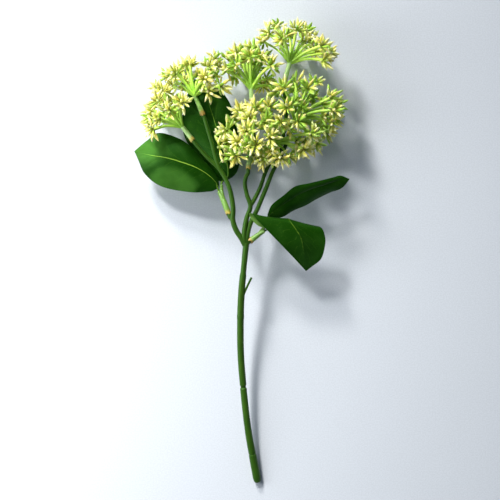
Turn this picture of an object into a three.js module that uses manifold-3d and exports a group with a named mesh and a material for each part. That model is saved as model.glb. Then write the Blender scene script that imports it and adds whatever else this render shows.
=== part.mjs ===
// A moulded skimmia spray: one forked stem, two leaf sleeves, four leaves and seven heads of buds.
// Units are millimetres. The spray lies on the plane z = 0 with its cut end towards -Y.
// Plan points are [across, down, height]. Across and down are read in a straight-down view
// of 500 by 500 units, and height is in millimetres above the table.

import * as THREE from 'three';
import { mergeVertices } from 'three/addons/utils/BufferGeometryUtils.js';
import Module from 'manifold-3d';

const wasm = await Module();
wasm.setup();

// The straight-down view
const VIEW_MIDDLE = 250;
const UNIT_ON_TABLE = 0.96;
const EYE_HEIGHT = 1200;
const ORIGIN_X = -8;
const ORIGIN_Y = -3;

// Stem and branches
const STEM_SIDES = 10;
const STEM_RING_SHARE = 0.06;
const BRANCH_SIDES = 6;
const BRANCH_RINGS_PER_POINT = 1.1;
const PEG_RADIUS = 1.2;
const PEG_LENGTH = 6;
const PEG_ROOT = 3;
const SEAT_GAP = 0.3;
const SOCKET_RADIUS = PEG_RADIUS + SEAT_GAP;
const SOCKET_DEPTH = PEG_LENGTH + SEAT_GAP;
const SOCKET_OVERRUN = 1;
const LEAD_LENGTH = 4;

// Sleeves and rays of a head, their profiles as [share of length, radius]
const SLEEVE_SIDES = 6;
const HEAD_SLEEVE_PROFILE = [[0, 2.5], [0.14, 2.5], [0.24, 2.3], [1, 1.9]];
const RAY_SIDES = 3;
const RAY_PROFILE = [[0, 1.4], [0.5, 1.35], [1, 1.25]];
const RAY_ROOT_DEPTH = 1.2;
const RAY_BOW = 2.5;

// Buds: each star has a small twenty-sided core, and a bud grows from some of its faces
const MOST_BUDS = 10;
const BUD_LENGTH = 13;
const BUD_LENGTH_SPREAD = 0.3;
const BUD_RADIUS = 1.8;
const BUD_WIDEST = 0.6;
const BUD_JITTER = 0.16;
const BUD_MOST_BACKWARD = -0.55;
const BUD_SCATTER = 0.9;
const BUD_LEAN = 1.2;
const BUD_NEAREST_FLOOR = 0.2;
const STAR_CORE = 1.25;
const LOW_STAR = 3.2;
const LOW_BUD_SINK = 0.5;

// Leaf sleeves
const LEAF_SLEEVE_PROFILE = [[0, 2.6], [0.12, 2.6], [0.2, 2.3], [1, 2.1]];
const PRONG_RADII = [2.1, 1.9];
const PRONG_STEPS = 4;

// Leaves
const LEAF_THICKNESS = 0.8;
const LEAF_ROWS = 13;
const LEAF_COLUMNS = 6;
const STALK_RADIUS = 0.9;
const STALK_LENGTH = 4;
const STALK_CLEAR = 1;
const STALK_TIP = 0.5;
const STALK_STEPS = 4;
const STALK_SIDES = 5;
const PRONG_SOCKET_RADIUS = STALK_RADIUS + SEAT_GAP;

// Room kept between a bud and a neighbour that it doesn't belong to
const ROOM_TO_STAR = 0.8;
const ROOM_TO_RAY = 2.2;
const ROOM_TO_BRANCH = 3.6;
const ROOM_TO_SLEEVE = 4.2;
const ROOM_TO_LEAF = 2;

// The random draws: how a seed is turned into a number, and what is added to it for each kind
const CHANCE_STEP = 12.9898;
const CHANCE_SPREAD = 43758.5453;
const HEAD_SEED = 100;
const STAR_SEED = 10;
const FIRST_SEED = 1;
const TURN_DRAWS = [0.1, 0.2, 0.3];
const SIDE_DRAWS = [0.4, 0.5, 0.6];
const NUDGE_DRAWS = [0.15, 0.25, 0.35];
const RATING_DRAW = 0.7;
const LENGTH_DRAW = 0.8;

// Colours and finishes
const STEM_GREEN = 0x3f6e26;
const STEM_ROUGHNESS = 0.5;
const SLEEVE_GREEN = 0x6f9c3c;
const SLEEVE_ROUGHNESS = 0.45;
const LEAF_GREEN = 0x1d4f12;
const LEAF_ROUGHNESS = 0.4;
const BUD_CREAM = 0xd9de9a;
const BUD_ROUGHNESS = 0.6;

// Making solids
const FIRST_SIDE = [0.3, 0.2, 1];
const NEARLY_ALONG = 1e-6;
const MERGE_DISTANCE = 1e-4;
const CUTTER_SIZE = 1000;

// The main stem from the cut end up, with its mould steps as [share of length, radius]
const STEM = [
  [257.7, 482, 2.6], [252.2, 453, 6.9], [248.1, 430, 10.5], [244, 394, 15], [241, 358, 19.4],
  [240.4, 326, 23.4], [241.5, 292, 28], [243.1, 274, 30], [246.3, 243, 33.5],
];
const STEM_PROFILE = [
  [0, 2.4], [0.006, 3.4], [0.02, 3.9], [0.06, 3.8], [0.118, 3.6], [0.122, 3.2], [0.126, 3.5],
  [0.25, 3.2], [0.4, 3.2], [0.404, 2.5], [0.41, 2.5], [0.416, 3.2], [0.55, 3.2], [0.688, 3.2],
  [0.693, 3.4], [0.703, 3.4], [0.708, 3.2], [0.865, 3.1], [0.88, 2.6], [1, 2.9],
];
const SIDE_STUB = [[243, 295, 27.5], [247, 287, 29.5], [251.5, 277.5, 31.5]];
const SIDE_STUB_RADII = [1.1, 1];
const SIDE_STUB_STEPS = 2;

// Branches, each as the sleeve that it ends in, its plan points and its radius at both ends
const BRANCHES = [
  {
    to: 'head_1',
    radii: [2.7, 1.7],
    points: [
      [245.5, 247, 33], [242.4, 240, 34], [236, 230, 35], [232.8, 220, 36], [233.2, 209, 37.5],
      [230, 190, 39.5], [226, 180, 40], [219, 168.5, 40.7], [208, 158, 41.5], [200, 149, 42],
    ],
  },
  {
    to: 'head_2',
    radii: [1.9, 1.7],
    points: [[221.6, 173, 40.5], [216.5, 161, 42], [212, 144, 43], [207, 127, 43.5]],
  },
  { to: 'leaf_sleeve_left', radii: [2, 1.8], points: [[233, 222, 36], [231, 218, 35.2]] },
  {
    to: 'head_5',
    radii: [2.6, 1.8],
    points: [
      [245.5, 248, 33], [244, 236, 34.5], [246.5, 219, 35.5], [250.4, 206, 37], [247, 195, 38.5],
      [245, 184, 40], [246, 177, 41],
    ],
  },
  {
    to: 'head_6',
    radii: [2, 1.7],
    points: [[250.7, 206, 37], [255, 198, 37.5], [260, 188, 37], [265.5, 172, 35], [268.5, 166, 32.5]],
  },
  {
    to: 'head_3',
    radii: [1.7, 1.7],
    points: [[265.5, 174, 35], [260, 160, 29], [255, 142, 25], [253, 122, 28], [252.5, 109, 34]],
  },
  {
    to: 'head_7',
    radii: [2.4, 1.7],
    points: [
      [246.5, 247, 33], [247.8, 233, 34], [251, 222, 34.5], [257, 210, 35], [262, 198, 36.5],
      [267, 186, 37], [273, 171, 35], [280, 158, 31], [285, 147, 30],
    ],
  },
  {
    to: 'head_4',
    radii: [1.7, 1.7],
    points: [[272.5, 173, 35], [278, 156, 27], [283, 138, 22], [286, 118, 26], [285, 98, 36]],
  },
  { to: 'leaf_sleeve_right', radii: [2, 1.8], points: [[246.6, 246.5, 33], [247.4, 244, 33.3]] },
];

// Heads, each with its collar on the branch end, its hub and the middle of each star of buds,
// followed by the number of its buds where it has fewer than most
const HEADS = [
  {
    name: 'head_1',
    collar: [193, 140.5, 42],
    hub: [181.5, 126, 41],
    stars: [
      [154, 129, 44], [153, 110, 36], [163, 93, 44], [182, 103, 60], [170, 111, 58, 9],
      [166, 113, 12, 7], [176, 101, 22, 6], [159, 101, 58, 8], [152, 121, 24, 8],
    ],
  },
  {
    name: 'head_2',
    collar: [203, 115, 43.5],
    hub: [194.5, 95, 43],
    stars: [
      [177, 74, 48], [174, 87, 26, 8], [190, 66, 40, 3], [208, 91, 61], [209, 67, 49, 9],
      [220, 86, 46, 7], [182, 71, 3], [204, 80, 66, 8], [217, 67, 30, 6],
    ],
  },
  {
    name: 'head_3',
    collar: [252, 101, 41],
    hub: [251, 88, 43],
    stars: [
      [236, 66, 50], [238, 54, 40, 9], [250, 57, 48], [260, 58, 36, 7], [270, 66, 50],
      [227, 71, 42, 9], [244, 68, 18, 6], [262, 86, 22, 7], [256, 68, 20, 6],
    ],
  },
  {
    name: 'head_4',
    collar: [284, 82.5, 42],
    hub: [290, 62, 43],
    stars: [
      [270, 34, 44], [283, 39, 54], [296, 30, 44], [304, 42, 34, 8], [321, 46, 50], [323, 60, 44],
      [284, 43, 18, 6], [309, 50, 14, 8],
    ],
  },
  {
    name: 'head_5',
    collar: [248.5, 168.5, 42],
    hub: [250, 152, 44],
    stars: [
      [219, 147, 44], [228, 130, 50], [236, 156, 54], [240, 113, 44], [247, 131, 64, 9],
      [250, 119, 60, 8], [238, 143, 66, 8], [246, 132, 20, 7], [256, 145, 66, 8], [256, 108, 52, 8],
    ],
  },
  {
    name: 'head_6',
    collar: [271, 158.5, 30.5],
    hub: [274, 142, 33],
    stars: [
      [270, 138, 62], [303, 149, 42], [311, 134, 46], [280, 157, 50], [264, 158, 44, 9],
      [269, 107, 46, 9], [264, 123, 56, 8], [268, 122, 8, 6], [296, 150, 14, 7], [262, 158, 12, 6],
      [281, 122, 56, 8], [288, 128, 44, 7],
    ],
  },
  {
    name: 'head_7',
    collar: [289, 134.5, 32],
    hub: [295, 118, 37],
    stars: [
      [307, 89, 48], [284, 88, 58], [330, 98, 46], [332, 110, 50], [331, 122, 36],
      [287, 108, 62, 8], [312, 126, 3, 8], [306, 100, 14, 6], [298, 121, 64, 5], [326, 132, 22, 7],
      [296, 83, 40, 7], [313, 144, 20, 6],
    ],
  },
];

// Leaf sleeves: the forked tube, and the collar where it slides on its peg
const LEAF_SLEEVES = [
  {
    name: 'leaf_sleeve_left',
    collar: [228.6, 213.6, 34.2],
    fork: [223.5, 200, 31.5],
    prongs: [
      [[223.5, 201, 31.6], [221, 196, 30.6], [219, 191.6, 29.6]],
      [[223.5, 201, 31.6], [221.8, 193, 29], [221.3, 185, 27]],
    ],
  },
  {
    name: 'leaf_sleeve_right',
    collar: [252, 239.6, 33.6],
    fork: [259.5, 234, 34.2],
    prongs: [
      [[258.6, 234.7, 34.1], [261.4, 232.8, 34.4], [264.4, 231.1, 34.8]],
      [[258.6, 234.7, 34.1], [263, 229, 33], [266, 222, 31.6]],
    ],
  },
];

// Leaves, each as matching points along its left edge, its midrib and its right edge
const LEAVES = [
  {
    name: 'leaf_left',
    camber: 1.5,
    prong: LEAF_SLEEVES[0].prongs[0],
    into: [[216.4, 184, 30.6]],
    left: [
      [217.6, 188.4, 28.8], [213, 190.8, 27.6], [205, 192, 26], [190, 192, 24], [171, 189.3, 21.5],
      [155, 183, 19.5], [145, 174, 18.5], [139.5, 163, 18.5], [135.2, 152.8, 19],
    ],
    rib: [
      [218.4, 186.8, 29.2], [215.2, 181.6, 31], [208, 174.5, 33], [196, 167.3, 34], [180, 161.5, 33],
      [165, 157.5, 31], [152, 155.5, 27.5], [142, 153.5, 23.5], [134.6, 151.8, 19],
    ],
    right: [
      [219.2, 185.2, 29], [217.8, 177.6, 29.6], [211, 169, 30.5], [201, 157, 30.5], [184, 141.5, 28.5],
      [168, 134.3, 26], [156, 133.6, 24.5], [146.5, 141, 22], [134.6, 151, 19],
    ],
  },
  {
    name: 'leaf_middle',
    camber: 1,
    prong: LEAF_SLEEVES[0].prongs[1],
    into: [[223, 180.6, 26.4], [226.5, 179, 27.4]],
    left: [
      [220.4, 181.4, 25.4], [214, 178.4, 23], [203, 166, 21.5], [194, 152, 20.5], [186, 140, 19.5],
      [182, 124, 18.5], [184, 107, 17], [188.5, 92, 15.5], [194.2, 79.2, 13.5],
    ],
    rib: [
      [223.4, 181.4, 26], [227.6, 176.6, 28], [228, 168, 29.5], [225.5, 156, 30], [221, 142, 29.5],
      [216, 126, 28], [211, 110, 25], [205, 94.5, 20.5], [197.8, 80, 14],
    ],
    right: [
      [226.4, 181, 25.4], [234, 175.6, 25], [238.4, 168, 25], [240.4, 155, 25], [239, 139, 24.6],
      [235, 121, 24], [230.4, 104, 22.5], [219, 89, 19.5], [201, 79.2, 13.5],
    ],
  },
  {
    name: 'leaf_right_long',
    camber: 1.2,
    prong: LEAF_SLEEVES[1].prongs[1],
    into: [[268.4, 216, 31], [273, 212.2, 31.8]],
    left: [
      [267.4, 214.8, 31.6], [271.4, 205.4, 34], [284, 195, 37], [295, 186.4, 38.5], [309, 183.2, 39],
      [324, 179.6, 38.5], [333, 177.4, 37], [340, 175.6, 35], [348.6, 178.6, 32],
    ],
    rib: [
      [268.2, 216.2, 31], [275, 210.6, 32], [287, 202, 33.5], [299, 194.4, 34.5], [312, 188.8, 35.4],
      [325, 184.6, 35.6], [334, 181.6, 35.2], [341.5, 179.6, 34], [349.4, 179.2, 32],
    ],
    right: [
      [269.6, 217.8, 30.4], [281, 217.4, 28], [293, 211, 27], [305, 205.4, 26.6], [317, 199.2, 27],
      [329, 192.6, 28], [337, 190.4, 29.2], [343.4, 186.6, 30.6], [349, 180, 32],
    ],
  },
  {
    name: 'leaf_right_broad',
    camber: 0.8,
    prong: LEAF_SLEEVES[1].prongs[0],
    into: [[268, 229.1, 35.7], [272.5, 227.1, 36.1]],
    left: [
      [266.4, 228.2, 36.6], [258.6, 226, 39], [252, 220, 39.8], [249.2, 214.6, 40.8],
      [250.6, 212.8, 43.6], [258, 220.6, 44], [267.5, 230.6, 43.4], [280.5, 244, 40.5],
      [293.5, 257.6, 34.5], [305.4, 270.4, 26],
    ],
    rib: [
      [267.6, 229.2, 35.8], [275, 226, 36.4], [282.4, 221.6, 37.4], [288, 218.6, 40.4],
      [290, 221.4, 44], [296, 229.4, 45], [301, 238, 43.4], [303, 247.4, 39.6],
      [304.6, 258.6, 33.4], [306.1, 270.8, 26],
    ],
    right: [
      [269, 230.2, 35], [282, 229, 34.4], [301, 227.4, 34], [318.4, 226, 36.4],
      [322.8, 230, 39.6], [325.4, 238, 39.6], [324.6, 248, 37.6], [320.8, 259.4, 33],
      [312.6, 266, 29], [306.9, 270.4, 26],
    ],
  },
];

// A plan point as a point of the part, nearer points being drawn in as the view draws them
function place([across, down, height]) {
  const unit = UNIT_ON_TABLE * (1 - height / EYE_HEIGHT);
  return new THREE.Vector3(
    (across - VIEW_MIDDLE) * unit - ORIGIN_X,
    (VIEW_MIDDLE - down) * unit - ORIGIN_Y,
    height,
  );
}

// A number from -0.5 to 0.5 that is always the same for the same seed
function chance(seed) {
  const wave = Math.sin(seed * CHANCE_STEP) * CHANCE_SPREAD;
  return wave - Math.floor(wave) - 0.5;
}

function randomVector(seed, draws) {
  return new THREE.Vector3(...draws.map((draw) => chance(seed + draw)));
}

function material(color, roughness) {
  return new THREE.MeshStandardMaterial({ color, roughness, metalness: 0 });
}

// Points evenly spread in share of length, with the radius going evenly between two values
function taper(steps, first, last) {
  const stops = [];
  for (let i = 0; i <= steps; i++) {
    const share = i / steps;
    stops.push([share, first + (last - first) * share]);
  }
  return stops;
}

// Stops with more rings between those that are further apart than a given share of the length
function closer(stops, most) {
  const all = [stops[0]];
  stops.slice(1).forEach(([share, radius], i) => {
    const [lastShare, lastRadius] = stops[i];
    const steps = Math.ceil((share - lastShare) / most);
    for (let step = 1; step <= steps; step++) {
      const part = step / steps;
      all.push([lastShare + (share - lastShare) * part, lastRadius + (radius - lastRadius) * part]);
    }
  });
  return all;
}

// Two directions square to a tangent, the first one as near as possible to a given direction
function squareTo(tangent, wanted) {
  const side = wanted.clone().addScaledVector(tangent, -wanted.dot(tangent));
  if (side.lengthSq() < NEARLY_ALONG) {
    side.set(tangent.z, tangent.x, tangent.y).addScaledVector(tangent, -side.dot(tangent));
  }
  side.normalize();
  return { side, up: tangent.clone().cross(side) };
}

// A closed round tube along a smooth curve, its radius given by stops of [share of length, radius]
function tubeGeometry(points, stops, sides) {
  const curve = new THREE.CatmullRomCurve3(points);
  const positions = [];
  const index = [];
  let wanted = new THREE.Vector3(...FIRST_SIDE);
  const rings = stops.map(([share, radius]) => {
    const middle = curve.getPointAt(share);
    const { side, up } = squareTo(curve.getTangentAt(share), wanted);
    wanted = side;
    const first = positions.length / 3;
    const corners = radius > 0 ? sides : 1;
    for (let i = 0; i < corners; i++) {
      const angle = (2 * Math.PI * i) / sides;
      const corner = middle.clone()
        .addScaledVector(side, radius * Math.cos(angle))
        .addScaledVector(up, radius * Math.sin(angle));
      positions.push(corner.x, corner.y, corner.z);
    }
    return { first, corners };
  });
  for (let k = 0; k + 1 < rings.length; k++) {
    const low = rings[k];
    const high = rings[k + 1];
    for (let i = 0; i < sides; i++) {
      const next = (i + 1) % sides;
      if (high.corners === 1) {
        index.push(low.first + i, low.first + next, high.first);
      } else {
        index.push(low.first + i, low.first + next, high.first + next);
        index.push(low.first + i, high.first + next, high.first + i);
      }
    }
  }
  const last = rings[rings.length - 1];
  for (let i = 1; i + 1 < sides; i++) {
    index.push(rings[0].first, rings[0].first + i + 1, rings[0].first + i);
    if (last.corners > 1) index.push(last.first, last.first + i, last.first + i + 1);
  }
  const geometry = new THREE.BufferGeometry();
  geometry.setAttribute('position', new THREE.Float32BufferAttribute(positions, 3));
  geometry.setIndex(index);
  return geometry;
}

// A geometry as a solid that can be joined and cut
function solid(geometry) {
  geometry.deleteAttribute('normal');
  geometry.deleteAttribute('uv');
  const merged = mergeVertices(geometry, MERGE_DISTANCE);
  return new wasm.Manifold(new wasm.Mesh({
    numProp: 3,
    vertProperties: new Float32Array(merged.attributes.position.array),
    triVerts: new Uint32Array(merged.index.array),
  }));
}

function tube(points, stops, sides) {
  return solid(tubeGeometry(points, stops, sides));
}

function joined(solids) {
  return solids.reduce((sum, next) => sum.add(next));
}

// A solid as a named mesh, cut level where it would reach below the table
function meshOf(name, body, look) {
  const table = new THREE.BoxGeometry(CUTTER_SIZE, CUTTER_SIZE, CUTTER_SIZE);
  table.translate(0, 0, -CUTTER_SIZE / 2);
  const { vertProperties, triVerts } = body.subtract(solid(table)).getMesh();
  const geometry = new THREE.BufferGeometry();
  geometry.setAttribute('position', new THREE.BufferAttribute(vertProperties, 3));
  geometry.setIndex(new THREE.BufferAttribute(triVerts, 1));
  const mesh = new THREE.Mesh(geometry, look);
  mesh.name = name;
  return mesh;
}

function direction(from, to) {
  return to.clone().sub(from).normalize();
}

// Where a sleeve starts and which way it points
function seatOf({ collar, hub, fork }) {
  const start = place(collar);
  return { start, aim: direction(start, place(hub ?? fork)) };
}

// A branch with a straight lead into its sleeve and a thinner peg inside it
function peggedBranch({ to, points, radii }) {
  const seat = seatOf([...HEADS, ...LEAF_SLEEVES].find(({ name }) => name === to));
  const at = (distance) => seat.start.clone().addScaledVector(seat.aim, distance);
  const path = [...points.map(place), at(-LEAD_LENGTH), at(-SEAT_GAP)];
  const rings = Math.round(path.length * BRANCH_RINGS_PER_POINT);
  const branch = tube(path, taper(rings, ...radii), BRANCH_SIDES);
  return branch.add(tube([at(-PEG_ROOT), at(PEG_LENGTH)], taper(1, PEG_RADIUS, PEG_RADIUS), BRANCH_SIDES));
}

function mainStem() {
  const stem = tube(STEM.map(place), closer(STEM_PROFILE, STEM_RING_SHARE), STEM_SIDES);
  const stub = tube(SIDE_STUB.map(place), taper(SIDE_STUB_STEPS, ...SIDE_STUB_RADII), BRANCH_SIDES);
  const body = joined([stem, stub, ...BRANCHES.map(peggedBranch)]);
  return meshOf('main_stem', body, material(STEM_GREEN, STEM_ROUGHNESS));
}

// A blind round hole in a sleeve, for the peg
function socket({ start, aim }, radius, depth) {
  const mouth = start.clone().addScaledVector(aim, -SOCKET_OVERRUN);
  const end = start.clone().addScaledVector(aim, depth);
  return tube([mouth, end], taper(1, radius, radius), SLEEVE_SIDES);
}

function leafSleeve(sleeve) {
  const seat = seatOf(sleeve);
  const parts = [tube([seat.start, place(sleeve.fork)], LEAF_SLEEVE_PROFILE, SLEEVE_SIDES)];
  const sockets = [socket(seat, SOCKET_RADIUS, SOCKET_DEPTH)];
  sleeve.prongs.forEach((prong) => {
    const path = prong.map(place);
    parts.push(tube(path, taper(PRONG_STEPS, ...PRONG_RADII), SLEEVE_SIDES));
    const end = path[path.length - 1];
    const inward = direction(end, path[path.length - 2]);
    sockets.push(socket({ start: end, aim: inward }, PRONG_SOCKET_RADIUS, STALK_LENGTH + SEAT_GAP));
  });
  const body = sockets.reduce((sum, hole) => sum.subtract(hole), joined(parts));
  return meshOf(sleeve.name, body, material(SLEEVE_GREEN, SLEEVE_ROUGHNESS));
}

// A leaf's middle surface: rows run from stalk to tip, columns from the left edge to the right
function leafNet({ left, rib, right, camber }) {
  const curves = [left, rib, right].map((line) => new THREE.CatmullRomCurve3(line.map(place)));
  const net = [];
  for (let row = 0; row <= LEAF_ROWS; row++) {
    const along = row / LEAF_ROWS;
    const [leftEdge, middle, rightEdge] = curves.map((curve) => curve.getPoint(along));
    const out = rightEdge.clone().sub(leftEdge).cross(curves[1].getTangent(along)).normalize();
    const line = [];
    for (let column = 0; column <= LEAF_COLUMNS; column++) {
      const across = (2 * column) / LEAF_COLUMNS - 1;
      const share = Math.abs(across);
      const point = middle.clone().lerp(across < 0 ? leftEdge : rightEdge, share);
      point.addScaledVector(out, camber * 4 * share * (1 - share) * Math.sin(Math.PI * along));
      line.push(point);
    }
    net.push(line);
  }
  return net;
}

// The upward normal at each point of a net
function netNormals(net) {
  return net.map((line, row) => line.map((point, column) => {
    const before = net[Math.max(row - 1, 0)][column];
    const after = net[Math.min(row + 1, net.length - 1)][column];
    const along = after.clone().sub(before);
    const across = line[Math.min(column + 1, line.length - 1)].clone().sub(line[Math.max(column - 1, 0)]);
    return across.cross(along).normalize();
  }));
}

// A blade of even thickness on both sides of a net, with the same diagonals on both faces
function bladeGeometry(net, thickness) {
  const normals = netNormals(net);
  const rows = net.length;
  const columns = net[0].length;
  const positions = [];
  [thickness / 2, -thickness / 2].forEach((lift) => {
    net.forEach((line, row) => line.forEach((point, column) => {
      const corner = point.clone().addScaledVector(normals[row][column], lift);
      positions.push(corner.x, corner.y, corner.z);
    }));
  });
  const index = [];
  const under = rows * columns;
  const at = (row, column) => row * columns + column;
  for (let row = 0; row + 1 < rows; row++) {
    for (let column = 0; column + 1 < columns; column++) {
      const a = at(row, column);
      const b = at(row, column + 1);
      const c = at(row + 1, column + 1);
      const d = at(row + 1, column);
      index.push(a, b, c, a, c, d);
      index.push(under + a, under + c, under + b, under + a, under + d, under + c);
    }
  }
  const rim = [];
  for (let column = 0; column < columns - 1; column++) rim.push(at(0, column));
  for (let row = 0; row < rows - 1; row++) rim.push(at(row, columns - 1));
  for (let column = columns - 1; column > 0; column--) rim.push(at(rows - 1, column));
  for (let row = rows - 1; row > 0; row--) rim.push(at(row, 0));
  rim.forEach((a, i) => {
    const b = rim[(i + 1) % rim.length];
    index.push(a, under + a, under + b, a, under + b, b);
  });
  const geometry = new THREE.BufferGeometry();
  geometry.setAttribute('position', new THREE.Float32BufferAttribute(positions, 3));
  geometry.setIndex(index);
  return geometry;
}

// A leaf's stalk: straight in its prong, then bending into the blade
function stalk(form) {
  const [before, mouth] = form.prong.slice(-2).map(place);
  const aim = direction(before, mouth);
  const root = mouth.clone().addScaledVector(aim, -STALK_LENGTH);
  const clear = mouth.clone().addScaledVector(aim, STALK_CLEAR);
  const peg = tube([root, clear], taper(1, STALK_RADIUS, STALK_RADIUS), STALK_SIDES);
  const path = [mouth, clear, ...form.into.map(place)];
  return peg.add(tube(path, taper(STALK_STEPS, STALK_RADIUS, STALK_TIP), STALK_SIDES));
}

function leaf(form, net) {
  const blade = solid(bladeGeometry(net, LEAF_THICKNESS));
  return meshOf(form.name, blade.add(stalk(form)), material(LEAF_GREEN, LEAF_ROUGHNESS));
}

// The point of a line from a to b that is nearest to p
function nearestOnLine(p, a, b) {
  return new THREE.Line3(a, b).closestPointToPoint(p, true, new THREE.Vector3());
}

// Where a head's rays start: just inside the end of its sleeve
function rayRoot({ collar, hub }) {
  const end = place(hub);
  return end.clone().addScaledVector(direction(place(collar), end), -RAY_ROOT_DEPTH);
}

// A head's ray: it leaves the sleeve forwards and bends to its star
function rayPath(head, star) {
  const root = rayRoot(head);
  const end = place(star);
  const middle = root.clone().lerp(end, 0.5).addScaledVector(seatOf(head).aim, RAY_BOW);
  return [root, middle, end];
}

// A wall keeps buds back: the bud's tip goes no further than the limit towards the wall
function wallTo(middle, point, room) {
  const towards = point.clone().sub(middle);
  const distance = towards.length();
  return { towards: towards.normalize(), limit: distance - room };
}

// The walls round a star: the other heads, the branches, the leaves and the table
function wallsRound(star, owner, nets) {
  const middle = place(star);
  const walls = [];
  HEADS.filter((head) => head !== owner).forEach((head) => {
    walls.push(wallTo(middle, nearestOnLine(middle, place(head.collar), place(head.hub)), ROOM_TO_SLEEVE));
    head.stars.forEach((other) => {
      const halfway = middle.clone().lerp(place(other), 0.5);
      walls.push(wallTo(middle, halfway, ROOM_TO_STAR));
      const [root, bend, end] = rayPath(head, other);
      walls.push(wallTo(middle, nearestOnLine(middle, root, bend), ROOM_TO_RAY));
      walls.push(wallTo(middle, nearestOnLine(middle, bend, end), ROOM_TO_RAY));
    });
  });
  BRANCHES.forEach(({ points }) => {
    const path = points.map(place);
    const spots = path.slice(1).map((end, i) => nearestOnLine(middle, path[i], end));
    const gaps = spots.map((spot) => spot.distanceTo(middle));
    walls.push(wallTo(middle, spots[gaps.indexOf(Math.min(...gaps))], ROOM_TO_BRANCH));
  });
  nets.forEach((net) => {
    const spots = net.flat();
    const gaps = spots.map((spot) => spot.distanceTo(middle));
    walls.push(wallTo(middle, spots[gaps.indexOf(Math.min(...gaps))], ROOM_TO_LEAF));
  });
  const sink = middle.z < LOW_STAR ? LOW_BUD_SINK : -BUD_NEAREST_FLOOR;
  walls.push({ towards: new THREE.Vector3(0, 0, -1), limit: middle.z + sink });
  return walls.filter(({ limit }) => limit < BUD_LENGTH * (1 + BUD_LENGTH_SPREAD));
}

// How far a bud of this length would pass the worst of the walls
function overstep(aim, length, walls) {
  return Math.max(0, ...walls.map(({ towards, limit }) => aim.dot(towards) * length - limit));
}

// Turns a direction back from every wall that a bud of this length would pass
function keptBack(aim, length, walls) {
  walls.forEach(({ towards, limit }) => {
    const most = limit / length;
    const along = aim.dot(towards);
    if (along <= most) return;
    const aside = aim.clone().addScaledVector(towards, -along);
    aside.setLength(Math.sqrt(1 - most * most));
    aim.copy(aside.addScaledVector(towards, most));
  });
  return aim;
}

// Three directions square to each other, turned at random
function randomTurn(seed) {
  const first = randomVector(seed, TURN_DRAWS).normalize();
  const { side, up } = squareTo(first, randomVector(seed, SIDE_DRAWS));
  return new THREE.Matrix4().makeBasis(first, side, up);
}

// The core of a star at the origin: its corners, and its faces with their outward directions
function starCore(seed) {
  const geometry = new THREE.IcosahedronGeometry(STAR_CORE, 0);
  geometry.deleteAttribute('normal');
  geometry.deleteAttribute('uv');
  const core = mergeVertices(geometry.applyMatrix4(randomTurn(seed)));
  const corners = [];
  for (let i = 0; i < core.attributes.position.count; i++) {
    corners.push(new THREE.Vector3().fromBufferAttribute(core.attributes.position, i));
  }
  const faces = [];
  for (let i = 0; i < core.index.count; i += 3) {
    const ring = [0, 1, 2].map((k) => core.index.getX(i + k));
    const middle = ring.reduce((sum, k) => sum.add(corners[k]), new THREE.Vector3()).divideScalar(3);
    faces.push({ ring, middle, aim: middle.clone().normalize() });
  }
  return { corners, faces };
}

// Picks the faces that carry buds: mostly outward ones, none at the ray and none that meets a wall
function pickBuds(faces, pole, walls, most, seed) {
  const outward = [...faces].sort((a, b) => b.aim.dot(pole) - a.aim.dot(pole));
  outward.forEach((face, rank) => {
    const own = seed + rank;
    face.rating = face.aim.dot(pole) + BUD_SCATTER * chance(own + RATING_DRAW);
    face.length = BUD_LENGTH * (1 + BUD_LENGTH_SPREAD * chance(own + LENGTH_DRAW));
    face.bud = face.aim.clone().addScaledVector(randomVector(own, NUDGE_DRAWS), 2 * BUD_JITTER).normalize();
  });
  return outward
    .filter(({ aim }) => aim.dot(pole) > BUD_MOST_BACKWARD)
    .filter(({ bud, length }) => overstep(bud, length, walls) < BUD_LEAN)
    .sort((a, b) => b.rating - a.rating)
    .slice(0, most);
}

// One star of spindle buds round the end of a ray, as one closed skin
function star(spot, owner, nets, seed) {
  const middle = place(spot);
  const [, bend] = rayPath(owner, spot);
  const walls = wallsRound(spot, owner, nets);
  const { corners, faces } = starCore(seed);
  const most = spot[3] ?? MOST_BUDS;
  const picked = pickBuds(faces, direction(bend, middle), walls, most, seed);
  const positions = corners.map((corner) => corner.clone());
  const index = [];
  faces.forEach((face) => {
    if (!picked.includes(face)) {
      index.push(...face.ring);
      return;
    }
    const aim = keptBack(face.bud, face.length, walls);
    const first = positions.length;
    face.ring.forEach((k) => {
      const outward = corners[k].clone().sub(face.middle);
      outward.addScaledVector(aim, -outward.dot(aim)).setLength(BUD_RADIUS);
      positions.push(outward.addScaledVector(aim, BUD_WIDEST * face.length));
    });
    positions.push(aim.clone().multiplyScalar(face.length));
    face.ring.forEach((low, k) => {
      const next = (k + 1) % 3;
      index.push(low, face.ring[next], first + next, low, first + next, first + k);
      index.push(first + k, first + next, first + 3);
    });
  });
  const geometry = new THREE.BufferGeometry();
  const flat = positions.flatMap((point) => point.add(middle).toArray());
  geometry.setAttribute('position', new THREE.Float32BufferAttribute(flat, 3));
  geometry.setIndex(index);
  return solid(geometry);
}

function head(form, order, nets) {
  const seat = seatOf(form);
  const sleeve = tube([seat.start, place(form.hub)], HEAD_SLEEVE_PROFILE, SLEEVE_SIDES);
  const parts = [sleeve.subtract(socket(seat, SOCKET_RADIUS, SOCKET_DEPTH))];
  form.stars.forEach((spot, i) => {
    parts.push(tube(rayPath(form, spot), RAY_PROFILE, RAY_SIDES));
    parts.push(star(spot, form, nets, HEAD_SEED * order + STAR_SEED * i + FIRST_SEED));
  });
  return meshOf(form.name, joined(parts), material(BUD_CREAM, BUD_ROUGHNESS));
}

const nets = LEAVES.map(leafNet);
const group = new THREE.Group();
group.add(mainStem());
LEAF_SLEEVES.forEach((sleeve) => group.add(leafSleeve(sleeve)));
LEAVES.forEach((form, i) => group.add(leaf(form, nets[i])));
HEADS.forEach((form, i) => group.add(head(form, i + 1, nets)));

export default group;
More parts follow.
